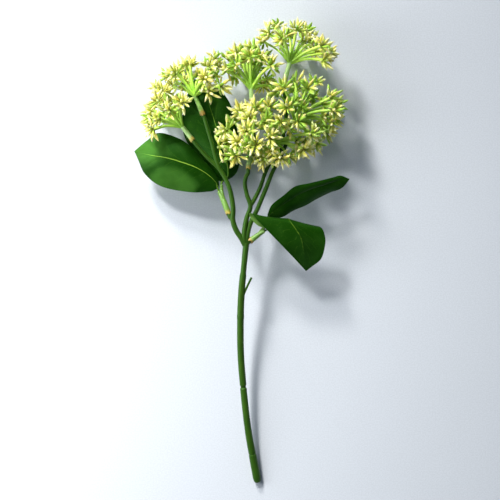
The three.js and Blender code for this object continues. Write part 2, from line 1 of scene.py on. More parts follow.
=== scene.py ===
# Builds the looks of a moulded skimmia spray round its fixed frame: stem, sleeves, leaves, rays and buds.
# Lengths in the named values are millimetres. Meshes, lights and the depths in materials are metres.

import bpy
import numpy as np
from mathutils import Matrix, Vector


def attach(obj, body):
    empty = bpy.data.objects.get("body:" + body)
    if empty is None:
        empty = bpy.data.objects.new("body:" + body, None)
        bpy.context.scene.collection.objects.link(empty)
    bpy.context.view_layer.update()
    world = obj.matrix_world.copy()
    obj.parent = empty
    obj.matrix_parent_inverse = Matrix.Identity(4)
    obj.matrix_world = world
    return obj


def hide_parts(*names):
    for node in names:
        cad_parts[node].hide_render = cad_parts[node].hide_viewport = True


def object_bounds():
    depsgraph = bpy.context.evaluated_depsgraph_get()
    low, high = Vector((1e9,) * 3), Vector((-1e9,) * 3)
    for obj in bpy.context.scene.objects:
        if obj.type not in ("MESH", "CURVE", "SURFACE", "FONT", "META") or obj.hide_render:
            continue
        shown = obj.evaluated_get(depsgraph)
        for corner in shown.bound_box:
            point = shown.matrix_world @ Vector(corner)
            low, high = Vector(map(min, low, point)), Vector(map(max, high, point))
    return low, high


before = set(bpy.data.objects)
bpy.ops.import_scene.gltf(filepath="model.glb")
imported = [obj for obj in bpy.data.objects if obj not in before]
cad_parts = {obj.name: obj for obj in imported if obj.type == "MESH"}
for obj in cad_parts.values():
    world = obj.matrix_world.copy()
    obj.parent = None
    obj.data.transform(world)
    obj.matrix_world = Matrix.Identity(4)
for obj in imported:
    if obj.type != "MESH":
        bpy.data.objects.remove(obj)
CAD_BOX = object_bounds()

bl_info = {
    "name": "Skimmia Spray",
    "version": (1, 0, 0),
    "blender": (4, 5, 0),
    "location": "3D View > Sidebar > Skimmia",
    "description": "Makes the stem, sleeves, leaves, rays and buds of a moulded skimmia spray",
    "category": "Add Mesh",
}

MM = 0.001
BODY = "root"

# The straight-down view that plan points are read in: [across, down, height]
VIEW_MIDDLE = 250
UNIT_ON_TABLE = 0.96
EYE_HEIGHT = 1200
ORIGIN_X = -8
ORIGIN_Y = -3
CHORDS = 400

# Stem: its rings and corners, half the width of a mould step as a share of its length, and the unevenness of
# its skin as [height, waves round, waves along]
STEM_RINGS = 150
STEM_SIDES = 28
STEP_WIDTH = 0.0012
STEM_WAVES = [(0.012, 2, 9), (0.01, 5, 31)]
BRANCH_RINGS = 12
BRANCH_SIDES = 18
BRANCH_WAVE = (0.02, 23)
BRANCH_ROOT = (0.3, 1.4)
STUB_RINGS = 16
STUB_SIDES = 14

# Pegs, sleeves and rays
PEG_LENGTH = 6
PEG_RADIUS = 1.2
PEG_SIDES = 12
SEAT_GAP = 0.3
LEAD_LENGTH = 4
SLEEVE_SIDES = 24
SLEEVE_WAVE = (0.03, 3)
MOUTH_DEPTH = 5
RAG_WAVES = [(0.7, 2), (0.5, 5), (0.35, 9)]
RAG_SIZE = 0.9
RAG_LOWEST = -0.9
PRONG_SIDES = 20
PRONG_STOPS = [0, 0.84, 0.9, 0.97, 1]
PRONG_RADIUS = 1.65
PRONG_NARROWING = 0.2
PRONG_LIP = 0.12
PRONG_LIP_FALL = 0.03
PRONG_END = 1.4
PRONG_RINGS = 18
RAY_RINGS = 22
RAY_SIDES = 12
RAY_ROOT_DEPTH = 1.2
RAY_BOW = 2.5
RAY_SWELL_AT_HUB = (0.25, 12)
RAY_SWELL_AT_STAR = (0.35, 14)
SMALL_RAY = 0.75

# Buds: what the frame's stars are grown with
MOST_BUDS = 10
BUD_LENGTH = 13
BUD_LENGTH_SPREAD = 0.3
BUD_JITTER = 0.16
BUD_MOST_BACKWARD = -0.55
BUD_SCATTER = 0.9
BUD_LEAN = 1.2
BUD_NEAREST_FLOOR = 0.2
LOW_STAR = 3.2
LOW_BUD_SINK = 0.5
ROOM_TO_STAR = 0.8
ROOM_TO_RAY = 2.2
ROOM_TO_BRANCH = 3.6
ROOM_TO_SLEEVE = 4.2
ROOM_TO_LEAF = 2
LEAF_ROWS = 13
LEAF_COLUMNS = 6

# Buds: what is only here. The profile is the share of the length, and the share of the way from the pedicel's
# radius to the widest, for each ring.
BUD_PROFILE = [[0.06, 0], [0.3, 0.04], [0.44, 0.62], [0.59, 1], [0.77, 0.74], [0.93, 0.24]]
BUD_SIDES = 8
BUD_GROOVE = 0.17
BUD_WIDTH_SPREAD = 0.24
BUD_WIDTH_POWER = 0.4
PEDICEL_TAPER = 8
INNER_MOST_BACKWARD = -0.15
INNER_LEAN = 0.6
INNER_KEPT = 0.7
SMALL_STAR = 0.8
SMALL_STAR_GREENER = 0.25
GREEN_SPREAD = 0.5
CORE_RADIUS = 1.5
CORE_RINGS = 5
CORE_SIDES = 10
CORE_SHARE = 0.1

# The random draws: how a seed is turned into a number, and what is added to it for each kind
CHANCE_STEP = 12.9898
CHANCE_SPREAD = 43758.5453
HEAD_SEED = 100
STAR_SEED = 10
FIRST_SEED = 1
INNER_SEED = 40
LEAF_SLEEVE_SEED = 700
HEAD_SLEEVE_SEED = 800
SLEEVE_SEED_STEP = 10
TURN_DRAWS = (0.1, 0.2, 0.3)
SIDE_DRAWS = (0.4, 0.5, 0.6)
NUDGE_DRAWS = (0.15, 0.25, 0.35)
BOW_DRAWS = (0.12, 0.22, 0.32)
RATING_DRAW = 0.7
LENGTH_DRAW = 0.8
TONE_DRAW = 0.45
WIDTH_DRAW = 0.55
GREEN_DRAW = 0.65
SKIP_DRAW = 0.85

# Blades: rows and columns, the columns that keep the rim sharp, and the waves of the edge
BLADE_ROWS = 131
BLADE_COLUMNS = 49
COLUMN_POWER = 1.5
RIM_COLUMN = 0.985
EDGE_WAVE = 0.35
EDGE_WAVES = 4.3
EDGE_WAVE_TURN = 0.21
EDGE_WAVE_SIDE = 1.3
EDGE_THINNING = 0.45
VEIN_SLANT = 0.2
VEIN_WAVES = [(0.16, 17), (0.1, 41)]
VEIN_GROOVE = 0.17
VEIN_LEAST = 0.4
RIB_WIDTHS = (0.03, 0.012)
RIB_LEAST = 0.1
RIB_VALLEY = 0.9
RIB_VALLEY_WIDTH = 3.2
RELIEF_FADE = 0.06
RELIEF_BELOW = 0.6
STALK_RINGS = 26
STALK_SIDES = 12
STALK_RADIUS = 0.9
STALK_LENGTH = 4
STALK_CLEAR = 1
STALK_TIP = 0.5
STALK_TAPER_START = 0.55
STALK_SHINE = 0.45

# Fixed colours: the stem's cut end, the torn yellow of a collar, and on the buds the dark middle of a star,
# which is brown bracts with painted shade where the buds crowd, the browned tips and the warm buds
CUT_END = (0.13, 0.16, 0.05)
TORN_YELLOW = (0.52, 0.40, 0.05)
STAR_MIDDLE_BROWN_AND_SHADE = (0.12, 0.085, 0.012)
BROWNED_TIP = (0.44, 0.26, 0.06)
WARM_BUD = (0.82, 0.66, 0.11)
SKY_COLOUR = (0.72, 0.86, 1, 1)

# Soft lights in metres: name, place, target, side, power setting, share of that power, colour and spread in
# degrees
KEY_TARGET = (-0.46, -0.2, 0)
LIGHTS = [
    ("key", (-1.05, 1.7, 1.55), KEY_TARGET, 0.4, "key_power", 0.6, (0.98, 0.98, 0.96), 62),
    ("low_key", (-0.95, 2.5, 1.35), KEY_TARGET, 0.4, "key_power", 0.65, (1, 0.98, 0.93), 62),
    ("window", (-0.6, 0, 0.36), (-0.15, 0, 0), 0.45, "window_power", 1, (0.96, 0.98, 1), 180),
]

# The main stem from the cut end up, with its mould steps as [share of length, radius]
STEM = [
    [257.7, 482, 2.6], [252.2, 453, 6.9], [248.1, 430, 10.5], [244, 394, 15], [241, 358, 19.4],
    [240.4, 326, 23.4], [241.5, 292, 28], [243.1, 274, 30], [246.3, 243, 33.5],
]
STEM_PROFILE = [
    [0, 2.4], [0.006, 3.4], [0.02, 3.9], [0.06, 3.8], [0.118, 3.6], [0.122, 3.2], [0.126, 3.5], [0.25, 3.2],
    [0.4, 3.2], [0.404, 2.5], [0.41, 2.5], [0.416, 3.2], [0.55, 3.2], [0.688, 3.2], [0.693, 3.4],
    [0.703, 3.4], [0.708, 3.2], [0.865, 3.1], [0.88, 2.6], [1, 2.9],
]
SIDE_STUB = [[243, 295, 27.5], [247, 287, 29.5], [251.5, 277.5, 31.5]]
SIDE_STUB_STOPS = [0, 0.3, 1]
SIDE_STUB_RADII = [1.6, 1.1, 1]

# Branches, each as the sleeve that it ends in, its radius at both ends and its plan points
BRANCHES = [
    ("head_1", (2.7, 1.7), [
        [245.5, 247, 33], [242.4, 240, 34], [236, 230, 35], [232.8, 220, 36], [233.2, 209, 37.5],
        [230, 190, 39.5], [226, 180, 40], [219, 168.5, 40.7], [208, 158, 41.5], [200, 149, 42],
    ]),
    ("head_2", (1.9, 1.7), [[221.6, 173, 40.5], [216.5, 161, 42], [212, 144, 43], [207, 127, 43.5]]),
    ("leaf_sleeve_left", (2, 1.8), [[233, 222, 36], [231, 218, 35.2]]),
    ("head_5", (2.6, 1.8), [
        [245.5, 248, 33], [244, 236, 34.5], [246.5, 219, 35.5], [250.4, 206, 37], [247, 195, 38.5],
        [245, 184, 40], [246, 177, 41],
    ]),
    ("head_6", (2, 1.7), [
        [250.7, 206, 37], [255, 198, 37.5], [260, 188, 37], [265.5, 172, 35], [268.5, 166, 32.5],
    ]),
    ("head_3", (1.7, 1.7), [
        [265.5, 174, 35], [260, 160, 29], [255, 142, 25], [253, 122, 28], [252.5, 109, 34],
    ]),
    ("head_7", (2.4, 1.7), [
        [246.5, 247, 33], [247.8, 233, 34], [251, 222, 34.5], [257, 210, 35], [262, 198, 36.5],
        [267, 186, 37], [273, 171, 35], [280, 158, 31], [285, 147, 30],
    ]),
    ("head_4", (1.7, 1.7), [[272.5, 173, 35], [278, 156, 27], [283, 138, 22], [286, 118, 26], [285, 98, 36]]),
    ("leaf_sleeve_right", (2, 1.8), [[246.6, 246.5, 33], [247.4, 244, 33.3]]),
]

# Heads: the collar on the branch end, the hub that the rays leave, and the middle of each star of buds,
# followed by the number of its outer buds where it has fewer than most. The small stars between and under
# them are only here. Brown is for the torn collar, pale for the sleeve and green for the buds, all from 0 to
# 1.
HEADS = [
    {
        "name": "head_1", "collar": [193, 140.5, 42], "hub": [181.5, 126, 41], "pale": 0.85, "brown": 0.3,
        "green": 0.3,
        "stars": [
            [154, 129, 44], [153, 110, 36], [163, 93, 44], [182, 103, 60], [170, 111, 58, 9],
            [166, 113, 12, 7], [176, 101, 22, 6], [159, 101, 58, 8], [152, 121, 24, 8],
        ],
        "small": [
            [151, 117, 34], [160, 119, 40], [172, 94, 34], [166, 101, 34], [158, 88, 30], [177, 112, 44],
        ],
    },
    {
        "name": "head_2", "collar": [203, 115, 43.5], "hub": [194.5, 95, 43], "pale": 0.1, "brown": 1,
        "green": 0.3,
        "stars": [
            [177, 74, 48], [174, 87, 26, 8], [190, 66, 40, 3], [208, 91, 61], [209, 67, 49, 9],
            [220, 86, 46, 7], [182, 71, 3], [204, 80, 66, 8], [217, 67, 30, 6],
        ],
        "small": [[184, 83, 34], [168, 77, 34], [199, 76, 36], [213, 77, 30], [215, 59, 40], [186, 66, 32]],
    },
    {
        "name": "head_3", "collar": [252, 101, 41], "hub": [251, 88, 43], "pale": 0.7, "brown": 0.4,
        "green": 0.6,
        "stars": [
            [236, 66, 50], [238, 54, 40, 9], [250, 57, 48], [260, 58, 36, 7], [270, 66, 50], [227, 71, 42, 9],
            [244, 68, 18, 6], [262, 86, 22, 7], [256, 68, 20, 6],
        ],
        "small": [
            [229, 60, 34], [243, 60, 34], [254, 65, 30], [244, 50, 32], [265, 60, 28], [235, 76, 26],
            [252, 49, 34], [266, 79, 30], [273, 87, 26],
        ],
    },
    {
        "name": "head_4", "collar": [284, 82.5, 42], "hub": [290, 62, 43], "pale": 0.9, "brown": 0.3,
        "green": 0.4,
        "stars": [
            [270, 34, 44], [283, 39, 54], [296, 30, 44], [304, 42, 34, 8], [321, 46, 50], [323, 60, 44],
            [284, 43, 18, 6], [309, 50, 14, 8],
        ],
        "small": [
            [264, 42, 34], [277, 27, 36], [290, 37, 30], [306, 31, 28], [314, 40, 34], [329, 53, 36],
            [315, 52, 34],
        ],
    },
    {
        "name": "head_5", "collar": [248.5, 168.5, 42], "hub": [250, 152, 44], "pale": 0.4, "brown": 0.5,
        "green": 0.25,
        "stars": [
            [219, 147, 44], [228, 130, 50], [236, 156, 54], [240, 113, 44], [247, 131, 64, 9],
            [250, 119, 60, 8], [238, 143, 66, 8], [246, 132, 20, 7], [256, 145, 66, 8], [256, 108, 52, 8],
        ],
        "small": [
            [229, 142, 34], [221, 136, 30], [235, 122, 34], [245, 109, 34], [247, 146, 50], [228, 155, 36],
            [254, 125, 36], [254, 155, 40],
        ],
    },
    {
        "name": "head_6", "collar": [271, 158.5, 30.5], "hub": [274, 142, 33], "pale": 0.3, "brown": 0.3,
        "green": 0.35,
        "stars": [
            [270, 138, 62], [303, 149, 42], [311, 134, 46], [280, 157, 50], [264, 158, 44, 9],
            [269, 107, 46, 9], [264, 123, 56, 8], [268, 122, 8, 6], [296, 150, 14, 7], [262, 158, 12, 6],
            [281, 122, 56, 8], [288, 128, 44, 7],
        ],
        "small": [
            [262, 112, 34], [275, 130, 40], [262, 146, 42], [272, 150, 42], [272, 163, 36], [288, 156, 34],
            [296, 141, 36], [304, 139, 32], [317, 143, 32],
        ],
    },
    {
        "name": "head_7", "collar": [289, 134.5, 32], "hub": [295, 118, 37], "pale": 0.3, "brown": 0.3,
        "green": 0.75,
        "stars": [
            [307, 89, 48], [284, 88, 58], [330, 98, 46], [332, 110, 50], [331, 122, 36], [287, 108, 62, 8],
            [312, 126, 3, 8], [306, 100, 14, 6], [298, 121, 64, 5], [326, 132, 22, 7], [296, 83, 40, 7],
            [313, 144, 20, 6],
        ],
        "small": [
            [277, 92, 36], [294, 91, 34], [294, 103, 40], [312, 98, 30], [322, 104, 36], [337, 104, 36],
            [322, 116, 38], [321, 127, 30], [316, 83, 36], [302, 109, 40], [336, 117, 30],
        ],
    },
]

# Leaf sleeves: the forked tube, and the collar where it slides on its peg. Radii are those of its mouth, its
# middle and its fork, reach is how far its torn mouth stands back from the collar's place, and lip is the
# share of the full lip that its prongs have.
LEAF_SLEEVES = [
    {
        "name": "leaf_sleeve_left", "collar": [228.6, 213.6, 34.2], "hub": [223.5, 200, 31.5], "brown": 0.4,
        "pale": -0.2, "radii": (2.6, 2.8, 2.6), "reach": 0.4, "lip": 1,
        "prongs": [
            [[223.5, 201, 31.6], [221, 196, 30.6], [219, 191.6, 29.6]],
            [[223.5, 201, 31.6], [221.8, 193, 29], [221.3, 185, 27]],
        ],
    },
    {
        "name": "leaf_sleeve_right", "collar": [252, 239.6, 33.6], "hub": [259.5, 234, 34.2], "brown": 0.9,
        "pale": 0, "radii": (2.9, 2.7, 2.2), "reach": 2.2, "lip": 0.1,
        "prongs": [
            [[258.6, 234.7, 34.1], [261.4, 232.8, 34.4], [264.4, 231.1, 34.8]],
            [[258.6, 234.7, 34.1], [263, 229, 33], [266, 222, 31.6]],
        ],
    },
]

# Leaves, each as matching points along its left edge, its midrib and its right edge, and as the sleeve and
# prong that its stalk is in. Light is how strongly painted sheen brightens the green of the leaf, and shine
# how bright the midrib is. A leaf that is face down has its upper side on the net's lower side.
LEAVES = [
    {
        "name": "leaf_left", "light": 0.9, "shine": 1, "camber": 1.5, "sleeve": 0, "prong": 0,
        "into": [[216.4, 184, 30.6]],
        "left": [
            [217.6, 188.4, 28.8], [213, 190.8, 27.6], [205, 192, 26], [190, 192, 24], [171, 189.3, 21.5],
            [155, 183, 19.5], [145, 174, 18.5], [139.5, 163, 18.5], [135.2, 152.8, 19],
        ],
        "rib": [
            [218.4, 186.8, 29.2], [215.2, 181.6, 31], [208, 174.5, 33], [196, 167.3, 34], [180, 161.5, 33],
            [165, 157.5, 31], [152, 155.5, 27.5], [142, 153.5, 23.5], [134.6, 151.8, 19],
        ],
        "right": [
            [219.2, 185.2, 29], [217.8, 177.6, 29.6], [211, 169, 30.5], [201, 157, 30.5], [184, 141.5, 28.5],
            [168, 134.3, 26], [156, 133.6, 24.5], [146.5, 141, 22], [134.6, 151, 19],
        ],
    },
    {
        "name": "leaf_middle", "light": 0.12, "shine": 0.6, "camber": 1, "sleeve": 0, "prong": 1,
        "into": [[223, 180.6, 26.4], [226.5, 179, 27.4]],
        "left": [
            [220.4, 181.4, 25.4], [214, 178.4, 23], [203, 166, 21.5], [194, 152, 20.5], [186, 140, 19.5],
            [182, 124, 18.5], [184, 107, 17], [188.5, 92, 15.5], [194.2, 79.2, 13.5],
        ],
        "rib": [
            [223.4, 181.4, 26], [227.6, 176.6, 28], [228, 168, 29.5], [225.5, 156, 30], [221, 142, 29.5],
            [216, 126, 28], [211, 110, 25], [205, 94.5, 20.5], [197.8, 80, 14],
        ],
        "right": [
            [226.4, 181, 25.4], [234, 175.6, 25], [238.4, 168, 25], [240.4, 155, 25], [239, 139, 24.6],
            [235, 121, 24], [230.4, 104, 22.5], [219, 89, 19.5], [201, 79.2, 13.5],
        ],
    },
    {
        "name": "leaf_right_long", "light": 0.02, "shine": 0.12, "camber": 1.2, "sleeve": 1, "prong": 1,
        "into": [[268.4, 216, 31], [273, 212.2, 31.8]],
        "left": [
            [267.4, 214.8, 31.6], [271.4, 205.4, 34], [284, 195, 37], [295, 186.4, 38.5], [309, 183.2, 39],
            [324, 179.6, 38.5], [333, 177.4, 37], [340, 175.6, 35], [348.6, 178.6, 32],
        ],
        "rib": [
            [268.2, 216.2, 31], [275, 210.6, 32], [287, 202, 33.5], [299, 194.4, 34.5], [312, 188.8, 35.4],
            [325, 184.6, 35.6], [334, 181.6, 35.2], [341.5, 179.6, 34], [349.4, 179.2, 32],
        ],
        "right": [
            [269.6, 217.8, 30.4], [281, 217.4, 28], [293, 211, 27], [305, 205.4, 26.6], [317, 199.2, 27],
            [329, 192.6, 28], [337, 190.4, 29.2], [343.4, 186.6, 30.6], [349, 180, 32],
        ],
    },
    {
        "name": "leaf_right_broad", "light": 0.06, "shine": 0.3, "camber": 0.8, "face_down": True,
        "sleeve": 1, "prong": 0, "into": [[268, 229.1, 35.7], [272.5, 227.1, 36.1]],
        "left": [
            [266.4, 228.2, 36.6], [258.6, 226, 39], [252, 220, 39.8], [249.2, 214.6, 40.8],
            [250.6, 212.8, 43.6], [258, 220.6, 44], [267.5, 230.6, 43.4], [280.5, 244, 40.5],
            [293.5, 257.6, 34.5], [305.4, 270.4, 26],
        ],
        "rib": [
            [267.6, 229.2, 35.8], [275, 226, 36.4], [282.4, 221.6, 37.4], [288, 218.6, 40.4],
            [290, 221.4, 44], [296, 229.4, 45], [301, 238, 43.4], [303, 247.4, 39.6], [304.6, 258.6, 33.4],
            [306.1, 270.8, 26],
        ],
        "right": [
            [269, 230.2, 35], [282, 229, 34.4], [301, 227.4, 34], [318.4, 226, 36.4], [322.8, 230, 39.6],
            [325.4, 238, 39.6], [324.6, 248, 37.6], [320.8, 259.4, 33], [312.6, 266, 29], [306.9, 270.4, 26],
        ],
    },
]


def metres(name, description, default, precision=5):
    """A setting in metres."""
    return bpy.props.FloatProperty(
        name=name, description=description, default=default, subtype="DISTANCE", unit="LENGTH",
        precision=precision)


def tint(name, description, *default):
    """A setting for a colour."""
    return bpy.props.FloatVectorProperty(
        name=name, description=description, default=default, subtype="COLOR", size=3, min=0, max=1)


def power(name, description, default):
    """A setting for the power of a light."""
    return bpy.props.FloatProperty(
        name=name, description=description, default=default, subtype="POWER", unit="POWER")


class StemSettings(bpy.types.PropertyGroup):
    """Sizes and colours of the stem and its branches."""

    grain_depth: metres("Grain depth", "Height of the fine lengthwise moulding marks", 0.00006, 6)
    colour: tint("Stem green", "Main colour of the stem", 0.026, 0.076, 0.005)
    shade: tint("Stem shade", "Darker colour in the hollows and streaks", 0.009, 0.036, 0.003)


class SleeveSettings(bpy.types.PropertyGroup):
    """Sizes and colours of the plug-in sleeves and the rays."""

    collar_radius: metres("Collar radius", "Radius of the torn collar at a sleeve's mouth", 0.0025)
    sleeve_radius: metres("Sleeve radius", "Radius of a head's sleeve behind its collar", 0.0023)
    hub_radius: metres("Hub radius", "Radius of a head's sleeve where its rays leave", 0.0019)
    ray_radius: metres("Ray radius", "Radius of a ray half-way along", 0.00135)
    colour: tint("Sleeve green", "Colour of the darker sleeves", 0.12, 0.26, 0.03)
    pale_colour: tint("Pale sleeve", "Colour of the palest sleeves", 0.46, 0.68, 0.25)
    ray_colour: tint("Ray green", "Colour of the rays", 0.46, 0.76, 0.07)
    tear_colour: tint("Torn edge", "Colour of a collar's torn edge", 0.33, 0.17, 0.03)


class LeafSettings(bpy.types.PropertyGroup):
    """Sizes and colours of the leaves."""

    thickness: metres("Thickness", "Thickness of a blade at its midrib", 0.0006)
    rib_height: metres("Midrib height", "How far the midrib stands out of a blade", 0.00035)
    vein_depth: metres("Vein depth", "Depth of the side veins in the upper face", 0.00013)
    veins: bpy.props.IntProperty(
        name="Side veins", description="Number of side veins on each side of the midrib", default=11, min=1)
    colour: tint("Leaf green", "Colour of the upper face", 0.0055, 0.036, 0.0010)
    rib_colour: tint("Midrib", "Colour of the midrib", 0.30, 0.52, 0.05)
    under_colour: tint("Underside", "Colour of the lower face", 0.13, 0.26, 0.05)


class BudSettings(bpy.types.PropertyGroup):
    """Sizes and colours of the buds."""

    radius: metres("Bud radius", "Radius of a bud where it is widest", 0.0015)
    pedicel_radius: metres("Pedicel radius", "Radius of the thin foot of a bud", 0.0006)
    inner_share: bpy.props.FloatProperty(
        name="Inner bud length", description="Length of the inner buds as a share of the outer ones",
        default=0.72, subtype="FACTOR", min=0, max=1)
    bow: metres("Bow", "How far a bud bends sideways half-way along", 0.0009)
    tip_colour: tint("Tip", "Colour of a bud's tip", 0.97, 0.93, 0.52)
    belly_colour: tint("Belly", "Colour of a bud where it is widest", 0.88, 0.86, 0.17)
    # The foot colour is the bud's real green base, made darker as painted shade where the buds crowd at a
    # star's middle.
    foot_green_and_shade: tint("Foot", "Colour of a bud's foot", 0.28, 0.38, 0.03)
    green_colour: tint("Green bud", "Colour of the greenest buds", 0.27, 0.56, 0.04)
    # The groove colour is painted shade in the four grooves of a bud.
    groove_shade_colour: tint("Grooves", "Colour in the four grooves of a bud", 0.36, 0.36, 0.03)


class StageSettings(bpy.types.PropertyGroup):
    """The floor, the lights and the camera."""

    lens: bpy.props.FloatProperty(
        name="Lens", description="Focal length of the camera, on a 36 mm sensor", default=90, min=1)
    floor_size: metres("Floor size", "Side of the square floor", 6, 2)
    floor_colour: tint("Floor", "Colour of the floor", 0.60, 0.63, 0.68)
    key_power: power("Key light", "Power of the soft light at the upper left", 16.6)
    window_power: power("Window light", "Power of the near light at the left", 4.2)
    sky_strength: bpy.props.FloatProperty(
        name="Sky", description="Strength of the even light from all round", default=0.5, min=0)


# Curves, tubes and chance

def place(points):
    """Plan points as millimetres in the frame. unit = 0.96 (1 - height / 1200), x = (across - 250) unit -
    origin x, y = (250 - down) unit - origin y, z = height."""
    plan = np.asarray(points, float).reshape(-1, 3)
    unit = UNIT_ON_TABLE * (1 - plan[:, 2] / EYE_HEIGHT)
    across = (plan[:, 0] - VIEW_MIDDLE) * unit - ORIGIN_X
    along = (VIEW_MIDDLE - plan[:, 1]) * unit - ORIGIN_Y
    return np.column_stack([across, along, plan[:, 2]])


def chance(seed):
    """A number from -0.5 to 0.5 for each seed: the fraction of sin(seed x step) x spread, less a half."""
    wave = np.sin(np.asarray(seed, float) * CHANCE_STEP) * CHANCE_SPREAD
    return wave - np.floor(wave) - 0.5


def unit_vectors(vectors):
    """Each vector divided by its length."""
    return vectors / np.maximum(np.linalg.norm(vectors, axis=-1, keepdims=True), 1e-12)


def curve_points(points, shares):
    """Points of a centripetal Catmull-Rom curve. On a span from p1 to p2 with neighbours p0 and p3 and steps
    d = square root of the distance, the tangents are m1 = d1 ((p1-p0)/d0 - (p2-p0)/(d0+d1) + (p2-p1)/d1) and
    the same at p2, and the point is the cubic Hermite curve p1, m1, p2, m2."""
    points = np.asarray(points, float)
    spans = len(points) - 1
    shares = np.clip(np.asarray(shares, float), 0, 1)
    span = np.minimum((shares * spans).astype(int), spans - 1)
    t = (shares * spans - span)[:, None]
    ends = np.vstack([2 * points[0] - points[1], points, 2 * points[-1] - points[-2]])
    p0, p1, p2, p3 = (ends[span + k] for k in range(4))
    d0, d1, d2 = (np.sqrt(np.linalg.norm(b - a, axis=1))[:, None] for a, b in ((p0, p1), (p1, p2), (p2, p3)))
    m1 = d1 * ((p1 - p0) / d0 - (p2 - p0) / (d0 + d1) + (p2 - p1) / d1)
    m2 = d1 * ((p2 - p1) / d1 - (p3 - p1) / (d1 + d2) + (p3 - p2) / d2)
    return p1 + m1 * t + (3 * (p2 - p1) - 2 * m1 - m2) * t ** 2 + (2 * (p1 - p2) + m1 + m2) * t ** 3


def even_path(points, shares):
    """Points at shares of a curve's length, which is read off a table of summed chords."""
    steps = np.linspace(0, 1, CHORDS + 1)
    chords = np.linalg.norm(np.diff(curve_points(points, steps), axis=0), axis=1)
    lengths = np.concatenate([[0], np.cumsum(chords)])
    return curve_points(points, np.interp(np.asarray(shares) * lengths[-1], lengths, steps))


def square_to(tangent):
    """Side and up for each tangent. The side is square to the tangent and as near as possible to the main
    direction that the tangents run along least."""
    wanted = np.eye(3)[np.argmin(np.abs(tangent).sum(axis=0))]
    side = unit_vectors(wanted - (tangent @ wanted)[:, None] * tangent)
    return side, np.cross(tangent, side)


def round_angles(sides):
    """The angles of a ring's corners."""
    return np.linspace(0, 2 * np.pi, sides, endpoint=False)


def spokes(side, up, sides):
    """Directions from each ring's middle to its corners: cos a side + sin a up."""
    angle = round_angles(sides)[:, None]
    return np.cos(angle) * side[:, None] + np.sin(angle) * up[:, None]


def closed_skin(rings, first, last):
    """Vertices, quads and triangles of stacked rings with a pole at each end. Rings run so that the sweep's
    own direction and turning give faces that point outwards."""
    count, sides, _ = rings.shape
    vertices = np.vstack([rings.reshape(-1, 3), first, last])
    corner = np.arange(sides)
    turn = np.roll(corner, -1)
    row = np.arange(count - 1)[:, None] * sides
    low, next_low = row + corner, row + turn
    quads = np.stack([low, next_low, next_low + sides, low + sides], axis=-1).reshape(-1, 4)
    top = (count - 1) * sides
    foot = np.full(sides, count * sides)
    triangles = np.vstack([
        np.column_stack([foot, turn, corner]),
        np.column_stack([foot + 1, top + corner, top + turn]),
    ])
    return vertices, quads, triangles


class Skin:
    """Gathers closed surfaces with a tone for each vertex, to make one mesh of them."""

    def __init__(self):
        self.vertices, self.quads, self.triangles, self.tones = [], [], [], []
        self.uv = None
        self.count = 0

    def add(self, vertices, quads, triangles, tones):
        """Adds a surface. Tones has four numbers for each vertex."""
        self.vertices.append(vertices)
        self.quads.append(np.asarray(quads, int).reshape(-1, 4) + self.count)
        self.triangles.append(np.asarray(triangles, int).reshape(-1, 3) + self.count)
        self.tones.append(tones)
        self.count += len(vertices)

    def add_rings(self, rings, first, last, shares, tone):
        """Adds stacked rings with their two poles. The tone's first channel is the share of each ring and, in
        the last two places, of the poles. Its others are three numbers."""
        surface = closed_skin(rings, first, last)
        tones = np.empty((len(surface[0]), 4))
        tones[:, 0] = np.concatenate([shares[:-2].repeat(rings.shape[1]), shares[-2:]])
        tones[:, 1:] = tone
        self.add(*surface, tones)

    def add_tube(self, path, radii, sides, tone, along=(0, 1), uneven=1):
        """Adds a closed tube: point(k, a) = path(k) + radius(k) uneven(k, a) (cos a side(k) + sin a up(k)).
        Along is the tone's first channel at both ends."""
        side, up = square_to(unit_vectors(np.gradient(path, axis=0)))
        radius = np.asarray(radii, float)[:, None] * np.ones((1, sides)) * uneven
        rings = path[:, None] + radius[:, :, None] * spokes(side, up, sides)
        shares = np.append(np.linspace(*along, len(path)), along)
        self.add_rings(rings, path[0], path[-1], shares, tone)

    def piece(self, name, material, slot, replaced):
        """Makes the mesh and its object, which rides on the body and stands for one of the frame's nodes."""
        vertices = np.clip(np.vstack(self.vertices), *(np.array(CAD_BOX) / MM))
        quads, triangles = np.vstack(self.quads), np.vstack(self.triangles)
        corners = np.concatenate([quads.ravel(), triangles.ravel()]).astype(np.int32)
        starts = np.concatenate([
            np.arange(len(quads)) * 4, len(quads) * 4 + np.arange(len(triangles)) * 3,
        ]).astype(np.int32)
        mesh = bpy.data.meshes.new(name)
        mesh.vertices.add(len(vertices))
        mesh.vertices.foreach_set("co", (vertices * MM).astype(np.float32).ravel())
        mesh.loops.add(len(corners))
        mesh.loops.foreach_set("vertex_index", corners)
        mesh.polygons.add(len(starts))
        mesh.polygons.foreach_set("loop_start", starts)
        mesh.polygons.foreach_set("use_smooth", np.ones(len(starts), bool))
        mesh.update(calc_edges=True)
        mesh.validate()
        tone = mesh.color_attributes.new("tone", "FLOAT_COLOR", "POINT")
        tone.data.foreach_set("color", np.vstack(self.tones).astype(np.float32).ravel())
        if self.uv is not None:
            layer = mesh.uv_layers.new(name="blade")
            layer.uv.foreach_set("vector", self.uv[corners].astype(np.float32).ravel())
        piece = linked(name, mesh)
        mesh.materials.append(material)
        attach(piece, BODY)
        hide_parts(replaced)


def linked(name, data):
    """An object of a mesh, light or camera, in the scene."""
    made = bpy.data.objects.new(name, data)
    bpy.context.scene.collection.objects.link(made)
    return made


# Materials

